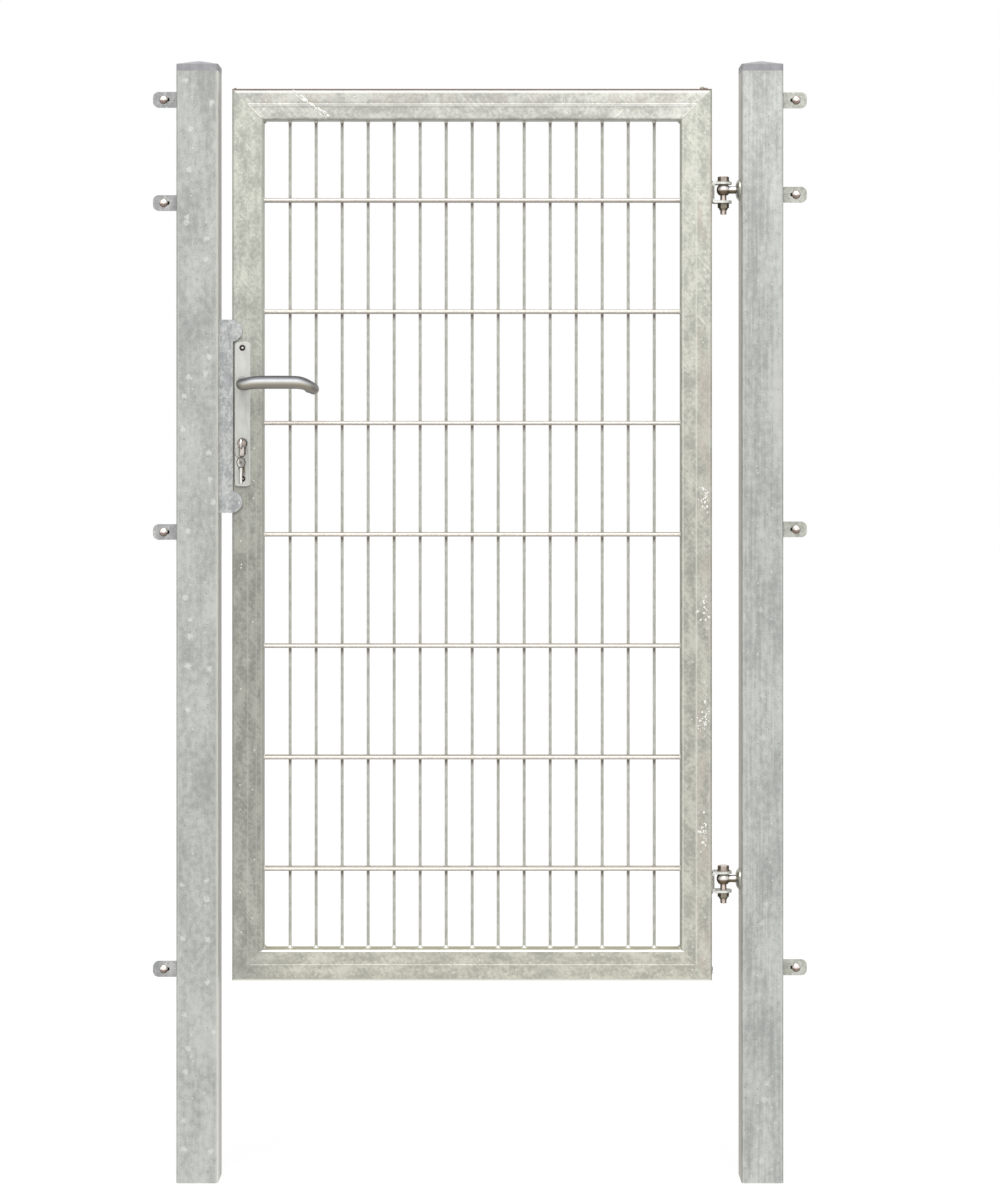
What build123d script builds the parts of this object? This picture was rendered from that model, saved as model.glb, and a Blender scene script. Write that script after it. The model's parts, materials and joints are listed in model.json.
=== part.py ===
from build123d import *
import os
from math import ceil, cos, pi, radians, sin, sqrt

os.makedirs("parts", exist_ok=True)

# Mesh fence gate in millimetres. X runs from the latch post to the hinge post, Y away from
# the viewer, Z up. The origin is midway between the posts, level with their feet.

# Posts
CLEAR_WIDTH = 1000.0  # between the posts' inner faces
POST_SIZE = 80.0
POST_WALL = 3.0
POST_CORNER = 6.0
POST_HEIGHT = 2125.0

# Post caps, moulded and pushed into the posts
CAP_EDGE = 13.0
CAP_PEAK = 9.5
CAP_FLAT = 6.0  # small square at the top of the shallow pyramid
CAP_WALL = 2.5
CAP_INSERT = 28.0
CAP_FIN = 1.5  # thickness of the fins that grip the post
CAP_FIN_PITCH = 9.0
CAP_LEG_GAP = 1.5  # between the insert and the post's inner wall
CAP_PLAY = 0.1  # between a fin and the post's inner wall

# Fixing lugs and their carriage bolts
LUG_DROPS_LATCH = (1720.0, 882.0, 251.0, 53.0)  # below the post's top, lowest lug first
LUG_DROPS_HINGE = (1717.0, 877.0, 235.0, 54.0)
LUG_REACH = 47.0
LUG_HEIGHT = 30.0
LUG_THICK = 5.0
LUG_SETBACK = 24.0  # from the post's front face to the lug's front face
LUG_CORNER = 11.0
LUG_SLOT_LENGTH = 19.0
LUG_SLOT_START = 14.5  # from the post's face to the near end of the slot
LUG_BOLT_D = 6.0
LUG_SHANK_D = 5.3  # rolled shank, thinner than the thread that stands free behind the nut
LUG_BOLT_LENGTH = 40.0
LUG_BOLT_REACH = 26.5  # from the post's face to the bolt's axis
LUG_HEAD_D = 16.6
LUG_HEAD_HEIGHT = 4.0
LUG_NECK = 4.0  # length of the square neck under the head
LUG_SLOT_PLAY = 0.5  # on each side of the neck
LUG_WASHER_D = 22.0
LUG_WASHER_THICK = 1.6
LUG_NUT_WIDTH = 10.0
LUG_NUT_HEIGHT = 5.0

# Leaf frame, mitred rectangular tube
LEAF_HEIGHT = 1710.0
LEAF_DROP = 32.0  # from the posts' tops down to the leaf's top
LATCH_GAP = 25.0
HINGE_GAP = 55.0
FRAME_FACE = 60.0
FRAME_DEPTH = 40.0
FRAME_WALL = 2.5
FRAME_CORNER = 5.0

# Wire mat: upright wires between a front and a rear row of rods
WIRE_D = 6.0
WIRE_PITCH = 50.0
ROD_D = 8.0
ROD_PITCH = 214.0
WELD_PLAY = 0.05

# Hinges: eye bolts in the hinge post, U brackets on the leaf
HINGE_INSET = 193.0  # from each end of the leaf to the middle of the eye
HINGE_OFFSET = 23.0  # from the stile's edge to the hinge axis
PIN_D = 12.0
PIN_LENGTH = 65.0
PIN_HEAD_WIDTH = 19.0
PIN_HEAD_HEIGHT = 8.0
PIN_WASHER_D = 24.0
PIN_WASHER_THICK = 2.5
PIN_PLAY = 0.05  # running clearance in the eye
EYE_D = 26.0
EYE_HEIGHT = 20.0
EYE_PLAY = 0.3  # between the eye's top and the bracket that rests on it
SHANK_D = 14.0
SHANK_BEYOND_NUT = 6.0
BRACKET_STRAP = 5.0
BRACKET_WIDTH = 32.0
BRACKET_MOUTH = 31.0  # inside height
BRACKET_BEND = 7.0  # outside of the bends
PIN_NUT_HEX = 9.0
PIN_NUT_COLLAR = 4.0
PIN_NUT_COLLAR_D = 18.0
PIN_NUT_COLLAR_TIP = 15.0
EYE_WASHER_D = 42.0
EYE_WASHER_RIM = 2.5  # thickness at the rim
EYE_WASHER_CROWN = 8.5  # thickness at the shank, under the dome
EYE_NUT_WIDTH = 22.0
EYE_NUT_HEIGHT = 11.0

# Stop plate and strike box on the latch post
STOP_THICK = 4.0
STOP_PLAY = 0.5  # between the stop plate and the closed leaf
STOP_ABOVE = 43.0  # from the lock plate's ends to the stop plate's ends
STOP_BELOW = 50.0
STOP_EAR = 42.0
STOP_EAR_REACH = 45.0  # from the post's face to the ear's round end
STOP_REACH = 27.0  # from the post's face to the notch
STRIKE_DEPTH = 18.0
STRIKE_WIDTH = 38.0
STRIKE_WALL = 3.0
STRIKE_MARGIN = 30.0  # beyond the latch slot and the bolt slot
STRIKE_PLAY = 1.0  # round the latch and the bolt

# Lock furniture
LOCK_BACKSET = 20.0  # from the stile's edge to the lever and cylinder axes
LEVER_HEIGHT = 1146.0  # lever axis above the leaf's lower edge
LOCK_CENTRES = 116.0  # from the lever axis down to the cylinder axis
PLATE_WIDTH = 30.0
PLATE_LENGTH = 277.0
PLATE_THICK = 3.0
PLATE_CORNER = 7.0
PLATE_BEVEL = 0.8
PLATE_ABOVE = 78.0  # from the lever axis to the plate's upper end
PLATE_SCREW_TOP = 11.0  # from the plate's ends to the screws
PLATE_SCREW_FOOT = 15.0
SCREW_D = 5.0
SCREW_HEAD_D = 9.5
SCREW_HEAD_DOME = 0.8
SCREW_SLOT = 1.2
SCREW_LENGTH = 35.0
SLEEVE_D = 7.0
SLEEVE_LENGTH = 18.0
LEVER_D = 24.0
LEVER_GRIP_OUT = 60.0  # from the plate's face to the middle of the grip
LEVER_LENGTH = 137.0  # from the lever axis to the middle of the return
REAR_LEVER_D = 20.0  # the rear lever is slimmer and shorter
REAR_LEVER_LENGTH = 123.0
LEVER_RETURN = 36.0
LEVER_DROOP = 10.0  # the return's end hangs a little lower than the grip
LEVER_BEND = 22.0
LEVER_END_ROUND = 5.0
JOURNAL_D = 16.0
BUSH_D = 20.0
BUSH_FLANGE_D = 25.0
BUSH_FLANGE = 1.0
LEVER_PLAY = 0.3  # between the lever's shoulder and the bush
SPINDLE = 8.0
SPINDLE_LENGTH = 96.0
SET_SCREW_D = 5.0
SET_SCREW_OUT = 10.0  # from the lever's shoulder to the set screw

# Lock case in the stile
CASE_DEPTH = 44.0
CASE_THICK = 16.0
CASE_WALL = 1.5
CASE_ABOVE = 6.0  # above the latch
CASE_BELOW = 6.0  # below the cylinder
FOREND_WIDTH = 24.0
FOREND_THICK = 3.0
FOREND_BEYOND = 20.0  # past each end of the case
FOREND_SCREW_INSET = 9.0
FOREND_SCREW_LENGTH = 14.0
FOLLOWER_D = 24.0
FOLLOWER_HUB_D = 18.0
FOLLOWER_ARM = 20.0  # from the lever axis to the middle of the arm's round tip
FOLLOWER_ARM_WIDTH = 7.0
FOLLOWER_ARM_THICK = 6.0
LATCH_OUT = 11.0
LATCH_BODY = 13.0  # inside the forend
LATCH_HEIGHT = 22.0
LATCH_THICK = 12.0
LATCH_NOSE = 3.0  # flat left at the tip of the bevel
LATCH_ABOVE = 27.0  # latch axis above the lever axis
LATCH_TAIL = 4.0
LATCH_LUG = 5.0
LATCH_LUG_DROP = 9.5
LATCH_LUG_GAP = 1.0  # between the follower's arm and the lug at rest
LATCH_ROD_D = 4.0
LATCH_ROD_ABOVE = 6.0  # rod axis above the latch axis
SPRING_D = 6.0  # middle of the wire
SPRING_WIRE = 0.9
SPRING_TURNS = 6
BOLT_HEIGHT = 28.0
BOLT_THICK = 10.0
BOLT_LENGTH = 38.0
BOLT_ABOVE = 12.0  # bolt's lower edge above the cylinder axis
BOLT_STEP = 4.2  # height of the step that the cam pushes
BOLT_STEP_LENGTH = 17.0
BOLT_SUNK = 0.5  # behind the forend's face when drawn in

# Profile cylinder and keys
CYL_D = 17.0
CYL_STEM = 10.0
CYL_HEIGHT = 33.0
CYL_LENGTH = 65.0
PLUG_D = 13.0
PLUG_PROUD = 0.6
PLUG_TENON_D = 8.0
CAM_WIDTH = 9.6
CAM_HUB_D = 16.0
CAM_REACH = 15.0
CAM_NOSE = 7.0
CAM_PLAY = 0.4
CYL_SCREW_DROP = 20.0  # below the cylinder axis
KEY_THICK = 2.0
KEY_BLADE = 8.2
KEY_BLADE_LENGTH = 26.5
KEY_BOW_D = 21.0
KEY_HOLE_D = 7.0
KEY_HOLE_SHIFT = 5.5  # ring hole from the middle of the bow
KEY_COLLAR = 3.0
KEY_CUT = 2.0
KEY_CUT_PITCH = 4.0
KEY_CUTS = 4
KEY_PLAY = 0.1
KEY_TWIST = 55.0  # angle between the hanging key and the key in the lock, degrees
RING_D = 26.0  # middle of the wire
RING_WIRE = 1.6
RING_PLAY = 0.3  # between the ring and the edge of the hole that it rests on

# Shared clearances, on each side
FIT_PLAY = 0.05
RUN_PLAY = 0.08
SLIDE_PLAY = 0.25
BOLT_PLAY = 0.25
CUTOUT_PLAY = 1.0

# Places worked out from the sizes
latch_face = -CLEAR_WIDTH / 2
hinge_face = CLEAR_WIDTH / 2
latch_post_x = latch_face - POST_SIZE / 2
hinge_post_x = hinge_face + POST_SIZE / 2
post_inside = POST_SIZE - 2 * POST_WALL
leaf_left = latch_face + LATCH_GAP
leaf_right = hinge_face - HINGE_GAP
leaf_top = POST_HEIGHT - LEAF_DROP
leaf_foot = leaf_top - LEAF_HEIGHT
leaf_middle_x = (leaf_left + leaf_right) / 2
leaf_middle_z = leaf_foot + LEAF_HEIGHT / 2
leaf_width = leaf_right - leaf_left
mat_width = leaf_width - 2 * FRAME_FACE
mat_height = LEAF_HEIGHT - 2 * FRAME_FACE
frame_half = FRAME_DEPTH / 2

hinge_x = leaf_right + HINGE_OFFSET
hinge_heights = {"upper": leaf_top - HINGE_INSET, "lower": leaf_foot + HINGE_INSET}
strap_under = EYE_HEIGHT / 2 + EYE_PLAY  # bracket's upper strap above the eye's middle
bracket_top = strap_under + BRACKET_STRAP
bracket_foot = strap_under - BRACKET_MOUTH - BRACKET_STRAP

lock_x = leaf_left + LOCK_BACKSET
lever_z = leaf_foot + LEVER_HEIGHT
cylinder_z = lever_z - LOCK_CENTRES
plate_top = lever_z + PLATE_ABOVE
plate_foot = plate_top - PLATE_LENGTH
plate_face = frame_half + PLATE_THICK  # from the leaf's middle plane
screw_heights = (plate_top - PLATE_SCREW_TOP, plate_foot + PLATE_SCREW_FOOT)
latch_z = lever_z + LATCH_ABOVE
bolt_foot = cylinder_z + BOLT_ABOVE
bolt_middle = bolt_foot + BOLT_HEIGHT / 2
forend_face = leaf_left - FOREND_THICK
case_back = leaf_left + CASE_DEPTH
case_top = latch_z + LATCH_HEIGHT / 2 + CASE_ABOVE
case_foot = cylinder_z + CYL_D / 2 - CYL_HEIGHT - CASE_BELOW
case_middle_z = (case_top + case_foot) / 2
case_height = case_top - case_foot
forend_screw_heights = (
    case_top + FOREND_BEYOND - FOREND_SCREW_INSET,
    case_foot - FOREND_BEYOND + FOREND_SCREW_INSET,
)
cylinder_screw_z = cylinder_z - CYL_SCREW_DROP
stop_front = frame_half + STOP_PLAY + STOP_THICK
stop_foot = plate_foot - STOP_BELOW
stop_top = plate_top + STOP_ABOVE
key_hole_y = -CYL_LENGTH / 2 - PLUG_PROUD - KEY_COLLAR - KEY_BOW_D / 2 - KEY_HOLE_SHIFT
ring_top = cylinder_z - KEY_HOLE_D / 2 + RING_WIRE / 2 + RING_PLAY
spare_key_z = ring_top - RING_D - KEY_HOLE_D / 2 + RING_WIRE / 2 + RING_PLAY


def save(piece, name):
    piece.part.label = name
    export_step(piece.part, f"parts/{name}.step")


def tube_profile(width, depth, wall, corner):
    RectangleRounded(width, depth, corner)
    RectangleRounded(width - 2 * wall, depth - 2 * wall, corner - wall, mode=Mode.SUBTRACT)


def cylinder_outline(play):
    """The profile cylinder's round head and straight stem, grown by a clearance."""
    stem_end = cylinder_z + CYL_D / 2 - CYL_HEIGHT + CYL_STEM / 2
    with Locations((lock_x, cylinder_z)):
        Circle(CYL_D / 2 + play)
    with Locations((lock_x, stem_end)):
        Circle(CYL_STEM / 2 + play)
    with Locations((lock_x, (cylinder_z + stem_end) / 2)):
        Rectangle(CYL_STEM + 2 * play, cylinder_z - stem_end)


# Posts
for name, post_x in (("latch_post", latch_post_x), ("hinge_post", hinge_post_x)):
    with BuildPart() as post:
        with BuildSketch(Plane.XY):
            with Locations((post_x, 0)):
                tube_profile(POST_SIZE, POST_SIZE, POST_WALL, POST_CORNER)
        extrude(amount=POST_HEIGHT)
        if name == "hinge_post":
            with BuildSketch(Plane.YZ.offset(hinge_face)):
                with Locations(*[(0, z) for z in hinge_heights.values()]):
                    Circle(SHANK_D / 2 + BOLT_PLAY)
            extrude(amount=POST_SIZE / 2, mode=Mode.SUBTRACT)
    save(post, name)

# Caps: a low pyramid over a rim, with a hollow insert whose fins grip the post
leg_size = post_inside - 2 * CAP_LEG_GAP
fin_size = post_inside - 2 * CAP_PLAY
inside_corner = POST_CORNER - POST_WALL
eave = POST_HEIGHT + CAP_EDGE
cap_top = eave + CAP_PEAK
for name, post_x in (("latch_post_cap", latch_post_x), ("hinge_post_cap", hinge_post_x)):
    with BuildPart() as cap:
        with BuildSketch(Plane.XY.offset(POST_HEIGHT)):
            with Locations((post_x, 0)):
                RectangleRounded(POST_SIZE, POST_SIZE, POST_CORNER)
        extrude(amount=CAP_EDGE + CAP_PEAK)
        for roof_plane, middle in ((Plane.XZ, post_x), (Plane.YZ.offset(post_x), 0)):
            with BuildSketch(roof_plane):
                with BuildLine():
                    Polyline(
                        (middle - POST_SIZE / 2, POST_HEIGHT),
                        (middle + POST_SIZE / 2, POST_HEIGHT),
                        (middle + POST_SIZE / 2, eave),
                        (middle + CAP_FLAT / 2, cap_top),
                        (middle - CAP_FLAT / 2, cap_top),
                        (middle - POST_SIZE / 2, eave),
                        close=True,
                    )
                make_face()
            extrude(amount=POST_SIZE / 2, both=True, mode=Mode.INTERSECT)
        with BuildSketch(Plane.XY.offset(POST_HEIGHT - CAP_INSERT)):
            with Locations((post_x, 0)):
                RectangleRounded(leg_size, leg_size, inside_corner)
        extrude(amount=CAP_INSERT)
        for n in range(2):
            with BuildSketch(Plane.XY.offset(POST_HEIGHT - CAP_INSERT + (n + 1) * CAP_FIN_PITCH)):
                with Locations((post_x, 0)):
                    RectangleRounded(fin_size, fin_size, inside_corner)
            extrude(amount=CAP_FIN)
        with BuildSketch(Plane.XY.offset(POST_HEIGHT - CAP_INSERT)):
            with Locations((post_x, 0)):
                RectangleRounded(leg_size - 2 * CAP_WALL, leg_size - 2 * CAP_WALL, inside_corner)
        extrude(amount=CAP_INSERT + CAP_EDGE - CAP_WALL, mode=Mode.SUBTRACT)
    save(cap, name)

# Fixing lugs, flat bar welded to the posts' outer faces
lug_front = POST_SIZE / 2 - LUG_SETBACK  # distance in front of the posts' middle plane
lug_slot_width = LUG_BOLT_D + 2 * LUG_SLOT_PLAY
lug_sets = (
    ("latch", -1, LUG_DROPS_LATCH),
    ("hinge", 1, LUG_DROPS_HINGE),
)
post_outer = CLEAR_WIDTH / 2 + POST_SIZE
lug_bolt_points = []
for side_name, side, drops in lug_sets:
    for number, drop in enumerate(drops, 1):
        height = POST_HEIGHT - drop
        with BuildPart() as lug:
            with BuildSketch(Plane.XZ.offset(lug_front)) as lug_face:
                with Locations((side * (post_outer + LUG_REACH / 2), height)):
                    Rectangle(LUG_REACH, LUG_HEIGHT)
                outer_end = lug_face.vertices().group_by(Axis.X)[0 if side < 0 else -1]
                fillet(outer_end, LUG_CORNER)
                slot_middle = LUG_SLOT_START + LUG_SLOT_LENGTH / 2
                with Locations((side * (post_outer + slot_middle), height)):
                    SlotOverall(LUG_SLOT_LENGTH, lug_slot_width, mode=Mode.SUBTRACT)
            extrude(amount=-LUG_THICK)
        save(lug, f"{side_name}_lug_{number}")
        lug_bolt_points.append((side * (post_outer + LUG_BOLT_REACH), -lug_front, height))

# Carriage bolt: domed head, square neck in the slot, rolled shank as far as the nut's outer
# face, then the free thread. Its head seats at y = 0.
lug_grip = LUG_THICK + LUG_WASHER_THICK + LUG_NUT_HEIGHT
dome_radius = (LUG_HEAD_D**2 / 4 + LUG_HEAD_HEIGHT**2) / (2 * LUG_HEAD_HEIGHT)
with BuildPart() as carriage_bolt:
    with BuildSketch(Plane.XY):
        with BuildLine():
            Line((0, -LUG_HEAD_HEIGHT), (0, 0))
            Line((0, 0), (LUG_HEAD_D / 2, 0))
            RadiusArc((LUG_HEAD_D / 2, 0), (0, -LUG_HEAD_HEIGHT), dome_radius)
        make_face()
    revolve(axis=Axis.Y)
    with BuildSketch(Plane.XZ):
        Rectangle(LUG_BOLT_D, LUG_BOLT_D)
    extrude(amount=-LUG_NECK)
    with BuildSketch(Plane.XZ):
        Circle(LUG_SHANK_D / 2)
    extrude(amount=-lug_grip)
    with BuildSketch(Plane.XZ.offset(-lug_grip)):
        Circle(LUG_BOLT_D / 2)
    extrude(amount=lug_grip - LUG_BOLT_LENGTH)
    chamfer(carriage_bolt.faces().sort_by(Axis.Y)[-1].edges(), LUG_BOLT_D / 10)

with BuildPart() as lug_bolts:
    with Locations(*lug_bolt_points):
        add(carriage_bolt.part)
save(lug_bolts, "lug_bolts")

washer_seat = lug_front - LUG_THICK
with BuildPart() as lug_washers:
    with BuildSketch(Plane.XZ.offset(washer_seat)):
        with Locations(*[(x, z) for x, y, z in lug_bolt_points]):
            Circle(LUG_WASHER_D / 2)
            Circle(LUG_BOLT_D / 2 + BOLT_PLAY, mode=Mode.SUBTRACT)
    extrude(amount=-LUG_WASHER_THICK)
save(lug_washers, "lug_washers")

with BuildPart() as lug_nuts:
    with BuildSketch(Plane.XZ.offset(washer_seat - LUG_WASHER_THICK)):
        with Locations(*[(x, z) for x, y, z in lug_bolt_points]):
            RegularPolygon(LUG_NUT_WIDTH / 2, 6, major_radius=False)
            Circle(LUG_SHANK_D / 2 + FIT_PLAY, mode=Mode.SUBTRACT)
    extrude(amount=-LUG_NUT_HEIGHT)
save(lug_nuts, "lug_nuts")

# Leaf frame: four tubes mitred at the corners
corner_planes = {
    "left top": Plane(origin=(leaf_left, 0, leaf_top), z_dir=(1, 0, 1)),
    "left foot": Plane(origin=(leaf_left, 0, leaf_foot), z_dir=(1, 0, -1)),
    "right top": Plane(origin=(leaf_right, 0, leaf_top), z_dir=(-1, 0, 1)),
    "right foot": Plane(origin=(leaf_right, 0, leaf_foot), z_dir=(-1, 0, -1)),
}
screw_hole = SLEEVE_D / 2 + BOLT_PLAY
with BuildPart() as lock_stile:
    with BuildSketch(Plane.XY.offset(leaf_foot)):
        with Locations((leaf_left + FRAME_FACE / 2, 0)):
            tube_profile(FRAME_FACE, FRAME_DEPTH, FRAME_WALL, FRAME_CORNER)
    extrude(amount=LEAF_HEIGHT)
    split(bisect_by=corner_planes["left top"], keep=Keep.BOTTOM)
    split(bisect_by=corner_planes["left foot"], keep=Keep.BOTTOM)
    with BuildSketch(Plane.XZ):
        cylinder_outline(CUTOUT_PLAY)
        with Locations((lock_x, lever_z)):
            Circle(BUSH_D / 2 + CUTOUT_PLAY)
        with Locations(*[(lock_x, z) for z in screw_heights]):
            Circle(screw_hole)
    extrude(amount=frame_half, both=True, mode=Mode.SUBTRACT)
    with BuildSketch(Plane.YZ.offset(leaf_left)):
        with Locations((0, case_middle_z)):
            Rectangle(CASE_THICK + 2 * SLIDE_PLAY, case_height + 2 * SLIDE_PLAY)
        with Locations(*[(0, z) for z in forend_screw_heights]):
            Circle(SCREW_D / 2 + FIT_PLAY)
    extrude(amount=LOCK_BACKSET / 2, mode=Mode.SUBTRACT)
save(lock_stile, "lock_stile")

with BuildPart() as hinge_stile:
    with BuildSketch(Plane.XY.offset(leaf_foot)):
        with Locations((leaf_right - FRAME_FACE / 2, 0)):
            tube_profile(FRAME_FACE, FRAME_DEPTH, FRAME_WALL, FRAME_CORNER)
    extrude(amount=LEAF_HEIGHT)
    split(bisect_by=corner_planes["right top"], keep=Keep.BOTTOM)
    split(bisect_by=corner_planes["right foot"], keep=Keep.BOTTOM)
save(hinge_stile, "hinge_stile")

rail_heights = {"top": leaf_top - FRAME_FACE / 2, "foot": leaf_foot + FRAME_FACE / 2}
for name, end in (("top_rail", "top"), ("bottom_rail", "foot")):
    with BuildPart() as rail:
        with BuildSketch(Plane.YZ.offset(leaf_left)):
            with Locations((0, rail_heights[end])):
                tube_profile(FRAME_DEPTH, FRAME_FACE, FRAME_WALL, FRAME_CORNER)
        extrude(amount=leaf_width)
        split(bisect_by=corner_planes[f"left {end}"], keep=Keep.TOP)
        split(bisect_by=corner_planes[f"right {end}"], keep=Keep.TOP)
    save(rail, name)

# Wire mat, welded between the frame's inner faces
wire_count = ceil(mat_width / WIRE_PITCH) - 1
rod_count = ceil(mat_height / ROD_PITCH) - 1
with BuildPart() as upright_wires:
    with BuildSketch(Plane.XY.offset(leaf_foot + FRAME_FACE)):
        with Locations((leaf_middle_x, 0)):
            with GridLocations(WIRE_PITCH, WIRE_PITCH, wire_count, 1):
                Circle(WIRE_D / 2)
    extrude(amount=mat_height)
save(upright_wires, "upright_wires")

rod_offset = WIRE_D / 2 + ROD_D / 2 + WELD_PLAY
for name, side in (("front_rods", -1), ("rear_rods", 1)):
    with BuildPart() as rods:
        with BuildSketch(Plane.YZ.offset(leaf_left + FRAME_FACE)):
            with Locations((side * rod_offset, leaf_middle_z)):
                with GridLocations(ROD_PITCH, ROD_PITCH, 1, rod_count):
                    Circle(ROD_D / 2)
        extrude(amount=mat_width)
    save(rods, name)

# Hinges
nut_seat = hinge_face + POST_WALL
shank_end = nut_seat + EYE_NUT_HEIGHT + SHANK_BEYOND_NUT
for place, eye_z in hinge_heights.items():
    # Eye bolt: a ball with flat top and foot, bored for the pin, on a round shank
    with BuildPart() as eye_bolt:
        with Locations((hinge_x, 0, eye_z)):
            Sphere(EYE_D / 2)
        with BuildSketch(Plane.YZ.offset(hinge_x)):
            with Locations((0, eye_z)):
                Circle(SHANK_D / 2)
        extrude(amount=shank_end - hinge_x)
        with Locations((hinge_x, 0, eye_z)):
            Box(4 * (shank_end - hinge_x), EYE_D, EYE_HEIGHT, mode=Mode.INTERSECT)
            Cylinder(PIN_D / 2 + PIN_PLAY, EYE_D, mode=Mode.SUBTRACT)
        chamfer(eye_bolt.faces().sort_by(Axis.X)[-1].edges(), SHANK_D / 10)
    save(eye_bolt, f"{place}_eye_bolt")

    # U bracket: strap bent round the eye, its free ends rounded about the pin
    with BuildPart() as bracket:
        with BuildSketch(Plane.XZ) as bracket_side:
            bracket_reach = HINGE_OFFSET + BRACKET_WIDTH / 2
            bracket_middle = eye_z + (bracket_top + bracket_foot) / 2
            with Locations((leaf_right + bracket_reach / 2, bracket_middle)):
                Rectangle(bracket_reach, bracket_top - bracket_foot)
            fillet(bracket_side.vertices().group_by(Axis.X)[0], BRACKET_BEND)
            with Locations((leaf_right + BRACKET_STRAP + bracket_reach, bracket_middle)):
                inner_bend = BRACKET_BEND - BRACKET_STRAP
                RectangleRounded(2 * bracket_reach, BRACKET_MOUTH, inner_bend, mode=Mode.SUBTRACT)
        extrude(amount=BRACKET_WIDTH / 2, both=True)
        with BuildSketch(Plane.XY.offset(eye_z + bracket_foot)):
            with Locations((hinge_x, 0)):
                Circle(BRACKET_WIDTH / 2)
            with Locations((hinge_x - HINGE_OFFSET / 2, 0)):
                Rectangle(HINGE_OFFSET, BRACKET_WIDTH)
        extrude(amount=bracket_top - bracket_foot, mode=Mode.INTERSECT)
        with Locations((hinge_x, 0, eye_z)):
            Cylinder(PIN_D / 2 + BOLT_PLAY, 2 * BRACKET_MOUTH, mode=Mode.SUBTRACT)
    save(bracket, f"{place}_hinge_bracket")

    head_seat = eye_z + bracket_top + PIN_WASHER_THICK
    with BuildPart() as pin:
        with BuildSketch(Plane.XY.offset(head_seat)):
            with Locations((hinge_x, 0)):
                RegularPolygon(PIN_HEAD_WIDTH / 2, 6, major_radius=False)
        extrude(amount=PIN_HEAD_HEIGHT)
        chamfer(pin.faces().sort_by(Axis.Z)[-1].edges(), PIN_HEAD_HEIGHT / 8)
        with BuildSketch(Plane.XY.offset(head_seat)):
            with Locations((hinge_x, 0)):
                Circle(PIN_D / 2)
        extrude(amount=-PIN_LENGTH)
        chamfer(pin.faces().sort_by(Axis.Z)[0].edges(), PIN_D / 10)
    save(pin, f"{place}_hinge_bolt")

with BuildPart() as hinge_washers:
    for eye_z in hinge_heights.values():
        with BuildSketch(Plane.XY.offset(eye_z + bracket_top)):
            with Locations((hinge_x, 0)):
                Circle(PIN_WASHER_D / 2)
                Circle(PIN_D / 2 + BOLT_PLAY, mode=Mode.SUBTRACT)
        extrude(amount=PIN_WASHER_THICK)
save(hinge_washers, "hinge_washers")

# Lock nuts: a hexagon with a tapered collar
with BuildPart() as hinge_nuts:
    for eye_z in hinge_heights.values():
        with BuildSketch(Plane.XY.offset(eye_z + bracket_foot)):
            with Locations((hinge_x, 0)):
                RegularPolygon(PIN_HEAD_WIDTH / 2, 6, major_radius=False)
        extrude(amount=-PIN_NUT_HEX)
        with Locations((hinge_x, 0, eye_z + bracket_foot - PIN_NUT_HEX - PIN_NUT_COLLAR / 2)):
            Cone(PIN_NUT_COLLAR_TIP / 2, PIN_NUT_COLLAR_D / 2, PIN_NUT_COLLAR)
        with BuildSketch(Plane.XY.offset(eye_z + bracket_foot)):
            with Locations((hinge_x, 0)):
                Circle(PIN_D / 2 + FIT_PLAY)
        extrude(amount=-PIN_NUT_HEX - PIN_NUT_COLLAR, mode=Mode.SUBTRACT)
save(hinge_nuts, "hinge_nuts")

# Domed washers on the eye bolts' shanks, against the post
with BuildPart() as eye_washers:
    for eye_z in hinge_heights.values():
        bore_edge = eye_z + SHANK_D / 2 + BOLT_PLAY
        rim_edge = eye_z + EYE_WASHER_D / 2
        rim = (hinge_face - EYE_WASHER_RIM, rim_edge)
        crown = (hinge_face - EYE_WASHER_CROWN, bore_edge)
        with BuildSketch(Plane.XZ):
            with BuildLine():
                Polyline(crown, (hinge_face, bore_edge), (hinge_face, rim_edge), rim)
                TangentArc(crown, rim, tangent=(0, 1))
            make_face()
        revolve(axis=Axis((0, 0, eye_z), (1, 0, 0)))
save(eye_washers, "eye_washers")

with BuildPart() as eye_nuts:
    with BuildSketch(Plane.YZ.offset(nut_seat)):
        with Locations(*[(0, z) for z in hinge_heights.values()]):
            RegularPolygon(EYE_NUT_WIDTH / 2, 6, major_radius=False)
            Circle(SHANK_D / 2 + FIT_PLAY, mode=Mode.SUBTRACT)
    extrude(amount=EYE_NUT_HEIGHT)
save(eye_nuts, "eye_nuts")

# Stop plate: the leaf closes against its ears, and the notch lets the lock furniture pass
with BuildPart() as stop_plate:
    with BuildSketch(Plane.XZ.offset(stop_front)):
        with Locations((latch_face + STOP_REACH / 2, (stop_top + stop_foot) / 2)):
            Rectangle(STOP_REACH, stop_top - stop_foot)
        ear_middle = latch_face + STOP_EAR_REACH - STOP_EAR / 2
        for ear_z in (stop_top - STOP_EAR / 2, stop_foot + STOP_EAR / 2):
            with Locations((ear_middle, ear_z)):
                Circle(STOP_EAR / 2)
            with Locations(((latch_face + ear_middle) / 2, ear_z)):
                Rectangle(ear_middle - latch_face, STOP_EAR)
    extrude(amount=-STOP_THICK)
save(stop_plate, "stop_plate")

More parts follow.
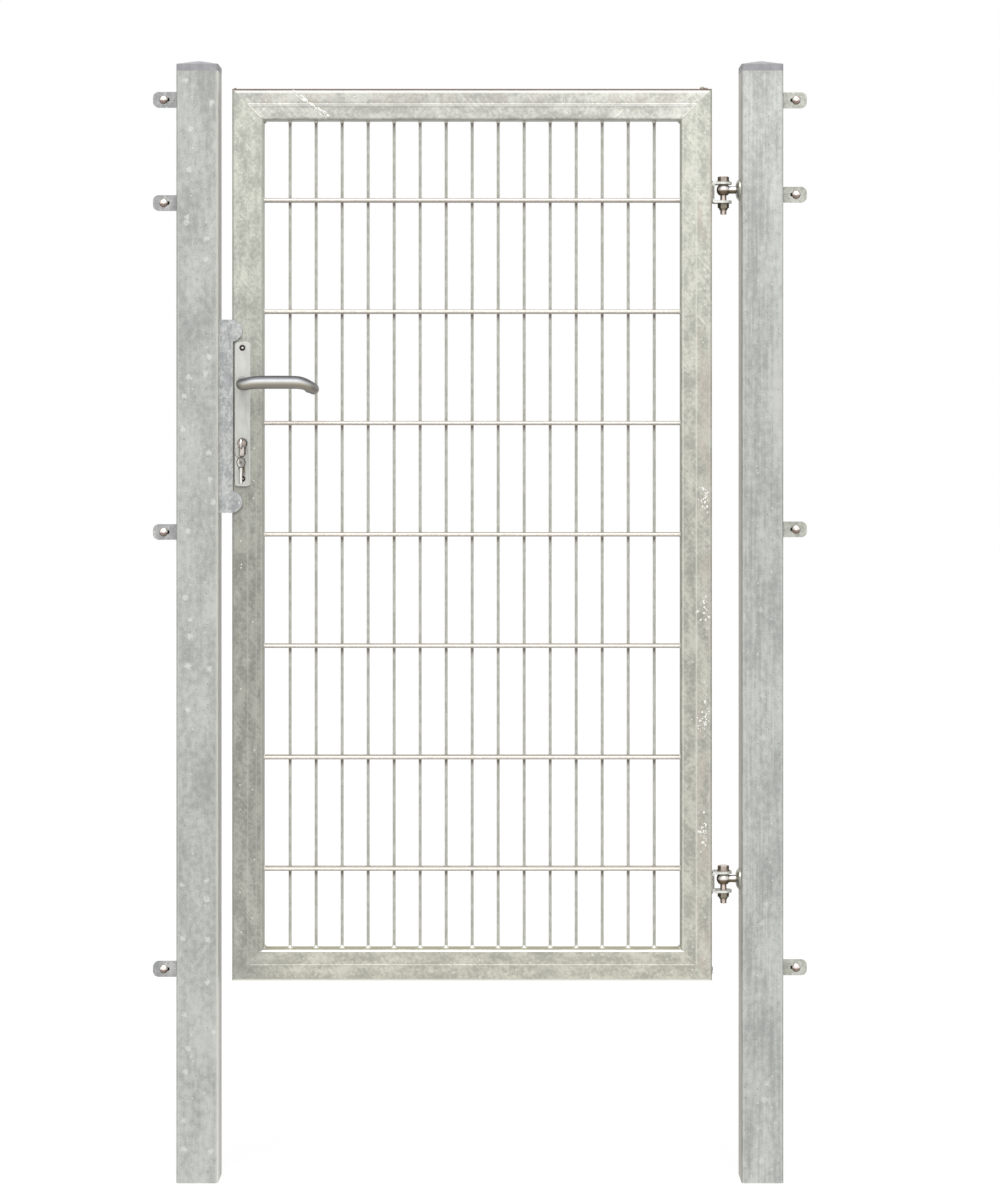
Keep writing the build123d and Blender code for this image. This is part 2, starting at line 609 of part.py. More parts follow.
# Strike box: a channel on the post behind the stop plate, slotted for the latch and the bolt
strike_front = stop_front - STOP_THICK
strike_top = latch_z + LATCH_HEIGHT / 2 + STRIKE_MARGIN
strike_foot = bolt_foot - STRIKE_MARGIN
with BuildPart() as strike_box:
    with BuildSketch(Plane.XY.offset(strike_foot)) as strike_section:
        strike_middle = STRIKE_WIDTH / 2 - strike_front
        with Locations((latch_face + STRIKE_DEPTH / 2, strike_middle)):
            Rectangle(STRIKE_DEPTH, STRIKE_WIDTH)
        fillet(strike_section.vertices().group_by(Axis.X)[-1], STRIKE_WALL)
        with Locations((latch_face + (STRIKE_DEPTH - STRIKE_WALL) / 2, strike_middle)):
            hollow = (STRIKE_DEPTH - STRIKE_WALL, STRIKE_WIDTH - 2 * STRIKE_WALL)
            Rectangle(*hollow, mode=Mode.SUBTRACT)
    extrude(amount=strike_top - strike_foot)
    with BuildSketch(Plane.YZ.offset(latch_face + STRIKE_DEPTH)):
        with Locations((0, latch_z)):
            Rectangle(LATCH_THICK + 2 * STRIKE_PLAY, LATCH_HEIGHT + 2 * STRIKE_PLAY)
        with Locations((0, bolt_middle)):
            Rectangle(BOLT_THICK + 2 * STRIKE_PLAY, BOLT_HEIGHT + 2 * STRIKE_PLAY)
    extrude(amount=-STRIKE_WALL, mode=Mode.SUBTRACT)
save(strike_box, "strike_box")

# Long lock plates, one on each side of the stile
head_depth = (SCREW_HEAD_D - SCREW_D) / 2
sleeve_head_depth = (SCREW_HEAD_D - SLEEVE_D) / 2
for name, side in (("front_lock_plate", -1), ("rear_lock_plate", 1)):
    with BuildPart() as plate:
        with BuildSketch(Plane.XZ.offset(-side * frame_half)):
            with Locations((lock_x, (plate_top + plate_foot) / 2)):
                RectangleRounded(PLATE_WIDTH, PLATE_LENGTH, PLATE_CORNER)
        extrude(amount=-side * PLATE_THICK)
        outer_face = plate.faces().sort_by(Axis.Y)[0 if side < 0 else -1]
        chamfer(outer_face.edges(), PLATE_BEVEL)
        with BuildSketch(Plane.XZ.offset(-side * frame_half)):
            cylinder_outline(SLIDE_PLAY)
            with Locations((lock_x, lever_z)):
                Circle(BUSH_D / 2 + FIT_PLAY)
            shank = SCREW_D if side < 0 else SLEEVE_D
            with Locations(*[(lock_x, z) for z in screw_heights]):
                Circle(shank / 2 + BOLT_PLAY)
        extrude(amount=-side * PLATE_THICK, mode=Mode.SUBTRACT)
        sink = head_depth if side < 0 else sleeve_head_depth
        for z in screw_heights:
            with BuildSketch(Plane.XZ.offset(-side * plate_face)):
                with Locations((lock_x, z)):
                    Circle(SCREW_HEAD_D / 2 + BOLT_PLAY)
            with BuildSketch(Plane.XZ.offset(-side * (plate_face - sink))):
                with Locations((lock_x, z)):
                    Circle(shank / 2 + BOLT_PLAY)
            loft(mode=Mode.SUBTRACT)
    save(plate, name)

# Plate screws run right through the stile into sleeve nuts at the back
screw_dome = (SCREW_HEAD_D**2 / 4 + SCREW_HEAD_DOME**2) / (2 * SCREW_HEAD_DOME)


def head_profile(shank, length, dome):
    """Half outline of a raised countersunk head on its shank, with the face at y = 0."""
    depth = (SCREW_HEAD_D - shank) / 2
    with BuildLine() as outline:
        Line((0, -dome), (0, length))
        Line((0, length), (shank / 2, length))
        Line((shank / 2, length), (shank / 2, depth))
        Line((shank / 2, depth), (SCREW_HEAD_D / 2, 0))
        RadiusArc((SCREW_HEAD_D / 2, 0), (0, -dome), screw_dome)
    make_face(outline.edges())


with BuildPart() as plate_screw:
    with BuildSketch(Plane.XY):
        head_profile(SCREW_D, SCREW_LENGTH, SCREW_HEAD_DOME)
    revolve(axis=Axis.Y)
    with Locations((0, -SCREW_HEAD_DOME, 0)):
        Box(SCREW_HEAD_D, SCREW_SLOT * 2, SCREW_SLOT, mode=Mode.SUBTRACT)

with BuildPart() as plate_screws:
    with Locations(*[(lock_x, -plate_face, z) for z in screw_heights]):
        add(plate_screw.part)
save(plate_screws, "plate_screws")

with BuildPart() as sleeve_nut:
    with BuildSketch(Plane.XY):
        head_profile(SLEEVE_D, SLEEVE_LENGTH, SCREW_HEAD_DOME)
    revolve(axis=Axis.Y)
    with BuildSketch(Plane.XZ.offset(-SLEEVE_LENGTH)):
        Circle(SCREW_D / 2 + FIT_PLAY)
    extrude(amount=SLEEVE_LENGTH - PLATE_THICK, mode=Mode.SUBTRACT)
    with Locations((0, -SCREW_HEAD_DOME, 0)):
        Box(SCREW_HEAD_D, SCREW_SLOT * 2, SCREW_SLOT, mode=Mode.SUBTRACT)

with BuildPart() as plate_sleeves:
    with Locations(*[Location((lock_x, plate_face, z), (0, 0, 180)) for z in screw_heights]):
        add(sleeve_nut.part)
save(plate_sleeves, "plate_sleeves")

# Lever bushes: flanged rings in the plates
with BuildPart() as lever_bushes:
    for side in (-1, 1):
        with BuildSketch(Plane.XZ.offset(-side * plate_face)):
            with Locations((lock_x, lever_z)):
                Circle(BUSH_FLANGE_D / 2)
        extrude(amount=-side * BUSH_FLANGE)
        with BuildSketch(Plane.XZ.offset(-side * plate_face)):
            with Locations((lock_x, lever_z)):
                Circle(BUSH_D / 2)
        extrude(amount=side * PLATE_THICK)
        with BuildSketch(Plane.XZ.offset(-side * frame_half)):
            with Locations((lock_x, lever_z)):
                Circle(JOURNAL_D / 2 + RUN_PLAY)
        extrude(amount=-side * (PLATE_THICK + BUSH_FLANGE), mode=Mode.SUBTRACT)
save(lever_bushes, "lever_bushes")

# Levers: round bar bent to a U, with a journal in the bush and a square socket for the spindle
shoulder = plate_face + BUSH_FLANGE + LEVER_PLAY
grip = plate_face + LEVER_GRIP_OUT
set_screw_y = shoulder + SET_SCREW_OUT
set_screw_top = SPINDLE / 2 + FIT_PLAY
levers = (
    ("front_lever", -1, LEVER_D, LEVER_LENGTH),
    ("rear_lever", 1, REAR_LEVER_D, REAR_LEVER_LENGTH),
)
for name, side, bar_d, reach in levers:
    with BuildPart() as lever:
        with BuildLine():
            end = (lock_x + reach, side * (grip - LEVER_RETURN), lever_z - LEVER_DROOP)
            FilletPolyline(
                (lock_x, side * shoulder, lever_z),
                (lock_x, side * grip, lever_z),
                (lock_x + reach, side * grip, lever_z),
                end,
                radius=LEVER_BEND,
            )
        with BuildSketch(Plane.XZ.offset(-side * shoulder)):
            with Locations((lock_x, lever_z)):
                Circle(bar_d / 2)
        sweep()
        fillet(lever.faces().sort_by_distance(end)[0].edges(), LEVER_END_ROUND)
        with BuildSketch(Plane.XZ.offset(-side * shoulder)):
            with Locations((lock_x, lever_z)):
                Circle(JOURNAL_D / 2)
        extrude(amount=side * (PLATE_THICK + BUSH_FLANGE + LEVER_PLAY))
        with BuildSketch(Plane.XZ):
            with Locations((lock_x, lever_z)):
                Rectangle(SPINDLE + 2 * FIT_PLAY, SPINDLE + 2 * FIT_PLAY)
        extrude(amount=-side * (SPINDLE_LENGTH / 2 + SLIDE_PLAY), mode=Mode.SUBTRACT)
        with BuildSketch(Plane.XY.offset(lever_z)):
            with Locations((lock_x, side * set_screw_y)):
                Circle(SET_SCREW_D / 2 + FIT_PLAY)
        extrude(amount=-bar_d, mode=Mode.SUBTRACT)
    save(lever, name)

with BuildPart() as spindle:
    with BuildSketch(Plane.XZ):
        with Locations((lock_x, lever_z)):
            Rectangle(SPINDLE, SPINDLE)
    extrude(amount=SPINDLE_LENGTH / 2, both=True)
save(spindle, "spindle")

with BuildPart() as lever_set_screws:
    for name, side, bar_d, reach in levers:
        with BuildSketch(Plane.XY.offset(lever_z - set_screw_top)):
            with Locations((lock_x, side * set_screw_y)):
                Circle(SET_SCREW_D / 2)
        extrude(amount=-(bar_d / 2 - set_screw_top - SET_SCREW_D / 4))
save(lever_set_screws, "lever_set_screws")

# Lock case and cover: an open tray and its lid, bored for the follower's hubs
case_half = CASE_THICK / 2
inner_half = case_half - CASE_WALL
hub_bore = FOLLOWER_HUB_D / 2 + RUN_PLAY
with BuildPart() as lock_case:
    with BuildSketch(Plane.XZ.offset(case_half)):
        with Locations((leaf_left + CASE_DEPTH / 2, case_middle_z)):
            Rectangle(CASE_DEPTH, case_height)
    extrude(amount=-CASE_THICK + CASE_WALL)
    with BuildSketch(Plane.XZ.offset(inner_half)):
        with Locations((leaf_left + CASE_DEPTH / 2, case_middle_z)):
            Rectangle(CASE_DEPTH - 2 * CASE_WALL, case_height - 2 * CASE_WALL)
    extrude(amount=-CASE_THICK, mode=Mode.SUBTRACT)
    with BuildSketch(Plane.XZ.offset(case_half)):
        cylinder_outline(SLIDE_PLAY)
        with Locations((lock_x, lever_z)):
            Circle(hub_bore)
    extrude(amount=-CASE_WALL, mode=Mode.SUBTRACT)
    with BuildSketch(Plane.YZ.offset(leaf_left)):
        with Locations((0, latch_z)):
            Rectangle(LATCH_THICK + 2 * SLIDE_PLAY, LATCH_HEIGHT + 2 * SLIDE_PLAY)
        with Locations((0, bolt_middle)):
            Rectangle(BOLT_THICK + 2 * SLIDE_PLAY, BOLT_HEIGHT + 2 * SLIDE_PLAY)
        with Locations((0, cylinder_screw_z)):
            Circle(SCREW_D / 2 + BOLT_PLAY)
    extrude(amount=CASE_WALL, mode=Mode.SUBTRACT)
    with BuildSketch(Plane.YZ.offset(case_back)):
        with Locations((0, latch_z + LATCH_ROD_ABOVE)):
            Circle(LATCH_ROD_D / 2 + SLIDE_PLAY)
    extrude(amount=-CASE_WALL, mode=Mode.SUBTRACT)
save(lock_case, "lock_case")

with BuildPart() as lock_cover:
    with BuildSketch(Plane.XZ.offset(-inner_half)):
        with Locations((leaf_left + CASE_DEPTH / 2, case_middle_z)):
            Rectangle(CASE_DEPTH, case_height)
        with Locations((lock_x, lever_z)):
            Circle(hub_bore, mode=Mode.SUBTRACT)
    extrude(amount=-CASE_WALL)
    with BuildSketch(Plane.XZ.offset(-inner_half)):
        cylinder_outline(SLIDE_PLAY)
    extrude(amount=-CASE_WALL, mode=Mode.SUBTRACT)
save(lock_cover, "lock_cover")

with BuildPart() as forend:
    with BuildSketch(Plane.YZ.offset(forend_face)):
        with Locations((0, case_middle_z)):
            RectangleRounded(FOREND_WIDTH, case_height + 2 * FOREND_BEYOND, FOREND_THICK)
        with Locations((0, latch_z)):
            hole = (LATCH_THICK + 2 * SLIDE_PLAY, LATCH_HEIGHT + 2 * SLIDE_PLAY)
            Rectangle(*hole, mode=Mode.SUBTRACT)
        with Locations((0, bolt_middle)):
            hole = (BOLT_THICK + 2 * SLIDE_PLAY, BOLT_HEIGHT + 2 * SLIDE_PLAY)
            Rectangle(*hole, mode=Mode.SUBTRACT)
    extrude(amount=FOREND_THICK)
    with Locations(*[
        Plane(origin=(forend_face, 0, z), z_dir=(-1, 0, 0)).location
        for z in (*forend_screw_heights, cylinder_screw_z)
    ]):
        CounterSinkHole(SCREW_D / 2 + BOLT_PLAY, SCREW_HEAD_D / 2 + BOLT_PLAY, FOREND_THICK)
save(forend, "forend")

with BuildPart() as forend_screw:
    with BuildSketch(Plane.XY):
        with BuildLine():
            Polyline(
                (0, 0),
                (SCREW_HEAD_D / 2, 0),
                (SCREW_D / 2, head_depth),
                (SCREW_D / 2, FOREND_SCREW_LENGTH),
                (0, FOREND_SCREW_LENGTH),
                close=True,
            )
        make_face()
    revolve(axis=Axis.Y)

with BuildPart() as forend_screws:
    with Locations(*[
        Location((forend_face, 0, z), (0, 0, -90)) for z in forend_screw_heights
    ]):
        add(forend_screw.part)
save(forend_screws, "forend_screws")

with BuildPart() as cylinder_screw:
    with BuildSketch(Plane.XY.offset(cylinder_screw_z)):
        with BuildLine():
            screw_end = lock_x + CYL_STEM / 4
            Polyline(
                (forend_face, 0),
                (forend_face, SCREW_HEAD_D / 2),
                (forend_face + head_depth, SCREW_D / 2),
                (screw_end, SCREW_D / 2),
                (screw_end, 0),
                close=True,
            )
        make_face()
    revolve(axis=Axis((0, 0, cylinder_screw_z), (1, 0, 0)))
save(cylinder_screw, "cylinder_screw")

# Follower: hubs in the case, square socket on the spindle, arm that draws the latch
with BuildPart() as follower:
    with BuildSketch(Plane.XZ):
        with Locations((lock_x, lever_z)):
            Circle(FOLLOWER_D / 2)
    extrude(amount=inner_half - SLIDE_PLAY, both=True)
    with BuildSketch(Plane.XZ):
        with Locations((lock_x, lever_z)):
            Circle(FOLLOWER_HUB_D / 2)
    extrude(amount=case_half, both=True)
    with BuildSketch(Plane.XZ):
        with Locations((lock_x, lever_z + FOLLOWER_ARM / 2)):
            arm_length = FOLLOWER_ARM + FOLLOWER_ARM_WIDTH
            SlotOverall(arm_length, FOLLOWER_ARM_WIDTH, rotation=90)
    extrude(amount=FOLLOWER_ARM_THICK / 2, both=True)
    with BuildSketch(Plane.XZ):
        with Locations((lock_x, lever_z)):
            Rectangle(SPINDLE + 2 * FIT_PLAY, SPINDLE + 2 * FIT_PLAY)
    extrude(amount=case_half, both=True, mode=Mode.SUBTRACT)
save(follower, "follower")

# Latch: bevelled on the side that meets the strike when the leaf closes, with a tail whose lug
# the follower pulls and a rod that carries the spring
latch_tip = forend_face - LATCH_OUT
latch_back = forend_face + LATCH_BODY
lug_left = lock_x + FOLLOWER_ARM_WIDTH / 2 + LATCH_LUG_GAP
with BuildPart() as latch_bolt:
    with BuildSketch(Plane.XY.offset(latch_z - LATCH_HEIGHT / 2)):
        with BuildLine():
            Polyline(
                (latch_tip, LATCH_THICK / 2),
                (latch_tip, LATCH_THICK / 2 - LATCH_NOSE),
                (forend_face - STRIKE_PLAY, -LATCH_THICK / 2),
                (latch_back, -LATCH_THICK / 2),
                (latch_back, LATCH_THICK / 2),
                close=True,
            )
        make_face()
    extrude(amount=LATCH_HEIGHT)
    with BuildSketch(Plane.XZ):
        tail_end = lug_left + LATCH_LUG
        with Locations(((latch_back + tail_end) / 2, latch_z - LATCH_TAIL / 4)):
            Rectangle(tail_end - latch_back, LATCH_TAIL)
        with Locations((lug_left + LATCH_LUG / 2, latch_z - LATCH_TAIL * 3 / 4 - LATCH_LUG_DROP / 2)):
            Rectangle(LATCH_LUG, LATCH_LUG_DROP)
    extrude(amount=FOLLOWER_ARM_THICK / 2, both=True)
    with BuildSketch(Plane.YZ.offset(latch_back)):
        with Locations((0, latch_z + LATCH_ROD_ABOVE)):
            Circle(LATCH_ROD_D / 2)
    extrude(amount=case_back - latch_back)
save(latch_bolt, "latch_bolt")

# Latch spring: a coil round the rod, in which two tangent arcs make each quarter turn
spring_length = case_back - CASE_WALL - latch_back - SPRING_WIRE - 2 * FIT_PLAY
spring_pitch = spring_length / SPRING_TURNS
spring_start = Vector(latch_back + SPRING_WIRE / 2 + FIT_PLAY, 0, latch_z + LATCH_ROD_ABOVE)


def coil_point(quarter):
    angle = quarter * pi / 2
    across = Vector(0, cos(angle), sin(angle)) * (SPRING_D / 2)
    return spring_start + across + Vector(spring_pitch * quarter / 4, 0, 0)


def coil_heading(quarter):
    angle = quarter * pi / 2
    around = Vector(0, -sin(angle), cos(angle)) * (SPRING_D / 2)
    return (around + Vector(spring_pitch / (2 * pi), 0, 0)).normalized()


with BuildPart() as latch_spring:
    with BuildLine():
        for quarter in range(4 * SPRING_TURNS):
            start, end = coil_point(quarter), coil_point(quarter + 1)
            leaving, arriving = coil_heading(quarter), coil_heading(quarter + 1)
            span = end - start
            turn = leaving + arriving
            bend = turn.dot(turn) - 4
            along = span.dot(turn)
            reach = (along - sqrt(along**2 - bend * span.dot(span))) / bend
            first_corner = start + leaving * reach
            second_corner = end - arriving * reach
            middle = (first_corner + second_corner) * 0.5
            TangentArc(start, middle, tangent=leaving)
            TangentArc(middle, end, tangent=second_corner - first_corner)
    with BuildSketch(Plane(origin=coil_point(0), z_dir=coil_heading(0))):
        Circle(SPRING_WIRE / 2)
    sweep()
save(latch_spring, "latch_spring")

# Deadbolt, drawn in at rest, with a step for the cam
bolt_front = forend_face + BOLT_SUNK
with BuildPart() as deadbolt:
    with BuildSketch(Plane.XZ):
        with Locations((bolt_front + BOLT_LENGTH / 2, bolt_middle)):
            Rectangle(BOLT_LENGTH, BOLT_HEIGHT)
        with Locations((bolt_front + BOLT_LENGTH - BOLT_STEP_LENGTH / 2, bolt_foot + BOLT_STEP / 2)):
            Rectangle(BOLT_STEP_LENGTH, BOLT_STEP, mode=Mode.SUBTRACT)
    extrude(amount=BOLT_THICK / 2, both=True)
save(deadbolt, "deadbolt")

# Profile cylinder: two plug housings joined by a bridge under the cam
cam_half = CAM_WIDTH / 2
cam_slot_half = cam_half + CAM_PLAY
cylinder_half = CYL_LENGTH / 2
with BuildPart() as cylinder_body:
    with BuildSketch(Plane.XZ):
        cylinder_outline(0)
    extrude(amount=cylinder_half, both=True)
    with BuildSketch(Plane.XZ):
        with Locations((lock_x, cylinder_z)):
            Rectangle(4 * CAM_REACH, 2 * (CAM_REACH + CAM_PLAY))
    extrude(amount=cam_slot_half, both=True, mode=Mode.SUBTRACT)
    with BuildSketch(Plane.XZ):
        with Locations((lock_x, cylinder_z)):
            Circle(PLUG_D / 2 + FIT_PLAY)
    extrude(amount=cylinder_half, both=True, mode=Mode.SUBTRACT)
    with BuildSketch(Plane.YZ.offset(lock_x - CYL_STEM / 2)):
        with Locations((0, cylinder_screw_z)):
            Circle(SCREW_D / 2 + FIT_PLAY)
    extrude(amount=CYL_STEM, mode=Mode.SUBTRACT)
save(cylinder_body, "cylinder_body")

# Front plug with the keyway and a tenon in the cam
plug_front = cylinder_half + PLUG_PROUD
with BuildPart() as front_plug:
    with BuildSketch(Plane.XZ.offset(plug_front)):
        with Locations((lock_x, cylinder_z)):
            Circle(PLUG_D / 2)
    extrude(amount=-(plug_front - cam_half))
    with BuildSketch(Plane.XZ.offset(cam_half)):
        with Locations((lock_x, cylinder_z)):
            Circle(PLUG_TENON_D / 2)
    extrude(amount=-cam_half)
    with BuildSketch(Plane.XZ.offset(plug_front)):
        with Locations((lock_x, cylinder_z)):
            Rectangle(KEY_THICK + 2 * KEY_PLAY, KEY_BLADE + 2 * KEY_PLAY)
    extrude(amount=-(KEY_BLADE_LENGTH + KEY_PLAY), mode=Mode.SUBTRACT)
save(front_plug, "front_plug")

with BuildPart() as rear_plug:
    with BuildSketch(Plane.XZ.offset(-plug_front)):
        with Locations((lock_x, cylinder_z)):
            Circle(PLUG_D / 2)
    extrude(amount=plug_front - cam_slot_half)
    with BuildSketch(Plane.XZ.offset(-plug_front)):
        with Locations((lock_x, cylinder_z)):
            Rectangle(KEY_THICK + 2 * KEY_PLAY, KEY_BLADE + 2 * KEY_PLAY)
    extrude(amount=KEY_BLADE_LENGTH, mode=Mode.SUBTRACT)
save(rear_plug, "rear_plug")

with BuildPart() as cylinder_cam:
    with BuildSketch(Plane.XZ):
        with Locations((lock_x, cylinder_z)):
            Circle(CAM_HUB_D / 2)
        with Locations((lock_x, cylinder_z - CAM_REACH / 2)):
            Rectangle(CAM_NOSE, CAM_REACH)
        with Locations((lock_x, cylinder_z)):
            Circle(PLUG_TENON_D / 2 + FIT_PLAY, mode=Mode.SUBTRACT)
    extrude(amount=cam_half, both=True)
save(cylinder_cam, "cylinder_cam")


def key_outline():
    """A key with its ring hole at the origin and its blade along +x."""
    blade_start = KEY_HOLE_SHIFT + KEY_BOW_D / 2
    blade_end = blade_start + KEY_COLLAR + KEY_BLADE_LENGTH
    with Locations((KEY_HOLE_SHIFT, 0)):
        Circle(KEY_BOW_D / 2)
    with Locations((blade_end / 2, 0)):
        Rectangle(blade_end, KEY_BLADE)
    with Locations((blade_start + KEY_COLLAR / 4, 0)):
        Rectangle(KEY_COLLAR * 3 / 2, KEY_BLADE + KEY_COLLAR)
    Circle(KEY_HOLE_D / 2, mode=Mode.SUBTRACT)
    first_cut = blade_end - (KEY_CUTS + 0.5) * KEY_CUT_PITCH
    for n in range(KEY_CUTS):
        with Locations((first_cut + n * KEY_CUT_PITCH, -KEY_BLADE / 2)):
            RegularPolygon(KEY_CUT, 4, mode=Mode.SUBTRACT)


with BuildPart() as key:
    with BuildSketch(Plane(origin=(lock_x, key_hole_y, cylinder_z), x_dir=(0, 1, 0), z_dir=(1, 0, 0))):
        key_outline()
    extrude(amount=KEY_THICK / 2, both=True)
save(key, "key")

# The ring takes half of the hanging key's turn, so its wire lies alike in both holes
half_twist = radians(KEY_TWIST / 2)
ring_middle = (lock_x, key_hole_y, ring_top - RING_D / 2)
with BuildPart() as key_ring:
    with Locations(Plane(origin=ring_middle, z_dir=(-sin(half_twist), cos(half_twist), 0))):
        Torus(RING_D / 2, RING_WIRE / 2)
save(key_ring, "key_ring")

turned = (cos(2 * half_twist), sin(2 * half_twist), 0)
hanging = Plane(origin=(lock_x, key_hole_y, spare_key_z), x_dir=(0, 0, -1), z_dir=turned)
with BuildPart() as spare_key:
    with BuildSketch(hanging):
        key_outline()
    extrude(amount=KEY_THICK / 2, both=True)
save(spare_key, "spare_key")
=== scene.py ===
"""Looks of a galvanised mesh fence gate: finishes, welds, threads, light and camera."""
import json
import math
import random

import bpy
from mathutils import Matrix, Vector


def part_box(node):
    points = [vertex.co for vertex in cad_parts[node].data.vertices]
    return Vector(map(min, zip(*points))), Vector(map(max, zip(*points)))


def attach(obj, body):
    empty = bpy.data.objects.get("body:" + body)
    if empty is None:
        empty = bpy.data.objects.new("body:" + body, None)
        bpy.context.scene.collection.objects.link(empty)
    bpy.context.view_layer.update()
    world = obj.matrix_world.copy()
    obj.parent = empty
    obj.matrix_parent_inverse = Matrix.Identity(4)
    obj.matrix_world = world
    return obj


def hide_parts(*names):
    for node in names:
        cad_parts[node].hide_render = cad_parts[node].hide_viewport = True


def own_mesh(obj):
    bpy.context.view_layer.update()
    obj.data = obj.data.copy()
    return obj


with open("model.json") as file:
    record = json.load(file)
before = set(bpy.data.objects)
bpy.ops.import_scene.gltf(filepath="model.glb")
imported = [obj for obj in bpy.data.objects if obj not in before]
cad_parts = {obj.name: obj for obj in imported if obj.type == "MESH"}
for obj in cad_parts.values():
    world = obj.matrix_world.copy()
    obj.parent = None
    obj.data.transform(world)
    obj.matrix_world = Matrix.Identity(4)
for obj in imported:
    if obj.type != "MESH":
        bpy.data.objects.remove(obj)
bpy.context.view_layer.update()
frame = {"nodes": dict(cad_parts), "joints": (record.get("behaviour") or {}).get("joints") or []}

nodes = frame["nodes"]

# Places taken from the frame, in metres
leaf_left, leaf_front, leaf_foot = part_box("lock_stile")[0]
leaf_right, leaf_back, leaf_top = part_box("hinge_stile")[1]
frame_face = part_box("lock_stile")[1].x - leaf_left
opening_left = leaf_left + frame_face
opening_right = leaf_right - frame_face
opening_foot = leaf_foot + frame_face
opening_top = leaf_top - frame_face
latch_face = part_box("latch_post")[1].x
post_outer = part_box("hinge_post")[1].x

# The mat: wires run up, rods run across in front of them and behind them
WIRE_COUNT = 15
ROD_COUNT = 7
WIRE_D = 0.006
ROD_D = 0.008
first_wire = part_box("upright_wires")[0].x + WIRE_D / 2
last_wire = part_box("upright_wires")[1].x - WIRE_D / 2
lowest_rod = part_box("front_rods")[0].z + ROD_D / 2
highest_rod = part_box("front_rods")[1].z - ROD_D / 2
front_rod_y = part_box("front_rods")[0].y + ROD_D / 2
rear_rod_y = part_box("rear_rods")[1].y - ROD_D / 2
wire_pitch = (last_wire - first_wire) / (WIRE_COUNT - 1)
rod_pitch = (highest_rod - lowest_rod) / (ROD_COUNT - 1)
wire_places = [first_wire + wire_pitch * k for k in range(WIRE_COUNT)]
rod_places = [lowest_rod + rod_pitch * k for k in range(ROD_COUNT)]

# Weld beads: length, width and height; those of the frame take their lengths from it
LUG_BEAD = (0.028, 0.0055, 0.0022)
STOP_BEAD = (0.034, 0.0055, 0.0022)
BRACKET_BEAD = (0.030, 0.0048, 0.0018)
MITRE_BEAD = (0.0034, 0.0005)
CORNER_BEAD = (0.0085, 0.0040)
FINE_VOXEL = 0.0005
VOXEL = 0.0007

# Low ridge along a rolled tube's seam
SEAM_WIDTH = 0.0032
SEAM_HEIGHT = 0.0008

# Threads: diameter and pitch; the carriage bolts stand this far out from the posts
STUD_D = 0.006
STUD_PITCH = 0.001
STUD_REACH = 0.0265
HINGE_BOLT_D = 0.012
HINGE_BOLT_PITCH = 0.00175
HINGE_THREAD = 0.0075
HINGE_THREAD_START = 0.001
lugs = [(f"latch_lug_{k}", -1) for k in range(1, 5)] + [(f"hinge_lug_{k}", 1) for k in range(1, 5)]

# The spring that pushes the latch out
SPRING_WIRE = 0.0009
SPRING_TURNS = 6

# Lock and hinges: the axes of the lever, the cylinder and the screws, and the middles of the hinges
CYLINDER_R = 0.0085
STEM_HALF = 0.005
SCREW_HEAD_D = 0.0095
KEY_BOW_R = 0.0105
GRIP_R = 0.0126
lock_x, _, lever_z = sum(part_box("spindle"), Vector()) / 2
cylinder_z = (sum(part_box("front_plug"), Vector()) / 2).z
cylinder_drop = cylinder_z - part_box("cylinder_body")[0].z
spare_bow_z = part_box("spare_key")[1].z - KEY_BOW_R
grip_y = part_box("front_lever")[0].y + GRIP_R
screw_low, screw_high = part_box("plate_screws")
plate_screw_places = (screw_high.z - SCREW_HEAD_D / 2, screw_low.z + SCREW_HEAD_D / 2)
hinge_low = (sum(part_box("lower_hinge_bracket"), Vector()) / 2).z
hinge_high = (sum(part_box("upper_hinge_bracket"), Vector()) / 2).z
hinge_spacing = hinge_high - hinge_low

# Camera: level, at eye height; the picture's frame in pixels and the scale in the leaf's middle plane
PICTURE_HEIGHT = 1200
PIXELS_PER_METRE = 520
HORIZON_ABOVE_MIDDLE = 165.5
CAMERA_DISTANCE = 5.7
CAMERA_X = 0.0385
CAMERA_Z = 1.43
SENSOR = 36.0

# Key light: its direction is that of its place from the origin
KEY_PLACE = (0.0, -3.4, 4.6)
KEY_SOFTNESS = math.radians(50)
KEY_STRENGTH = 2.6


def srgb(red, green, blue):
    """A colour given as the eye reads it, 0 to 255, as linear light for a socket."""
    def linear(level):
        share = level / 255
        return share / 12.92 if share <= 0.04045 else ((share + 0.055) / 1.055) ** 2.4

    return (linear(red), linear(green), linear(blue), 1.0)


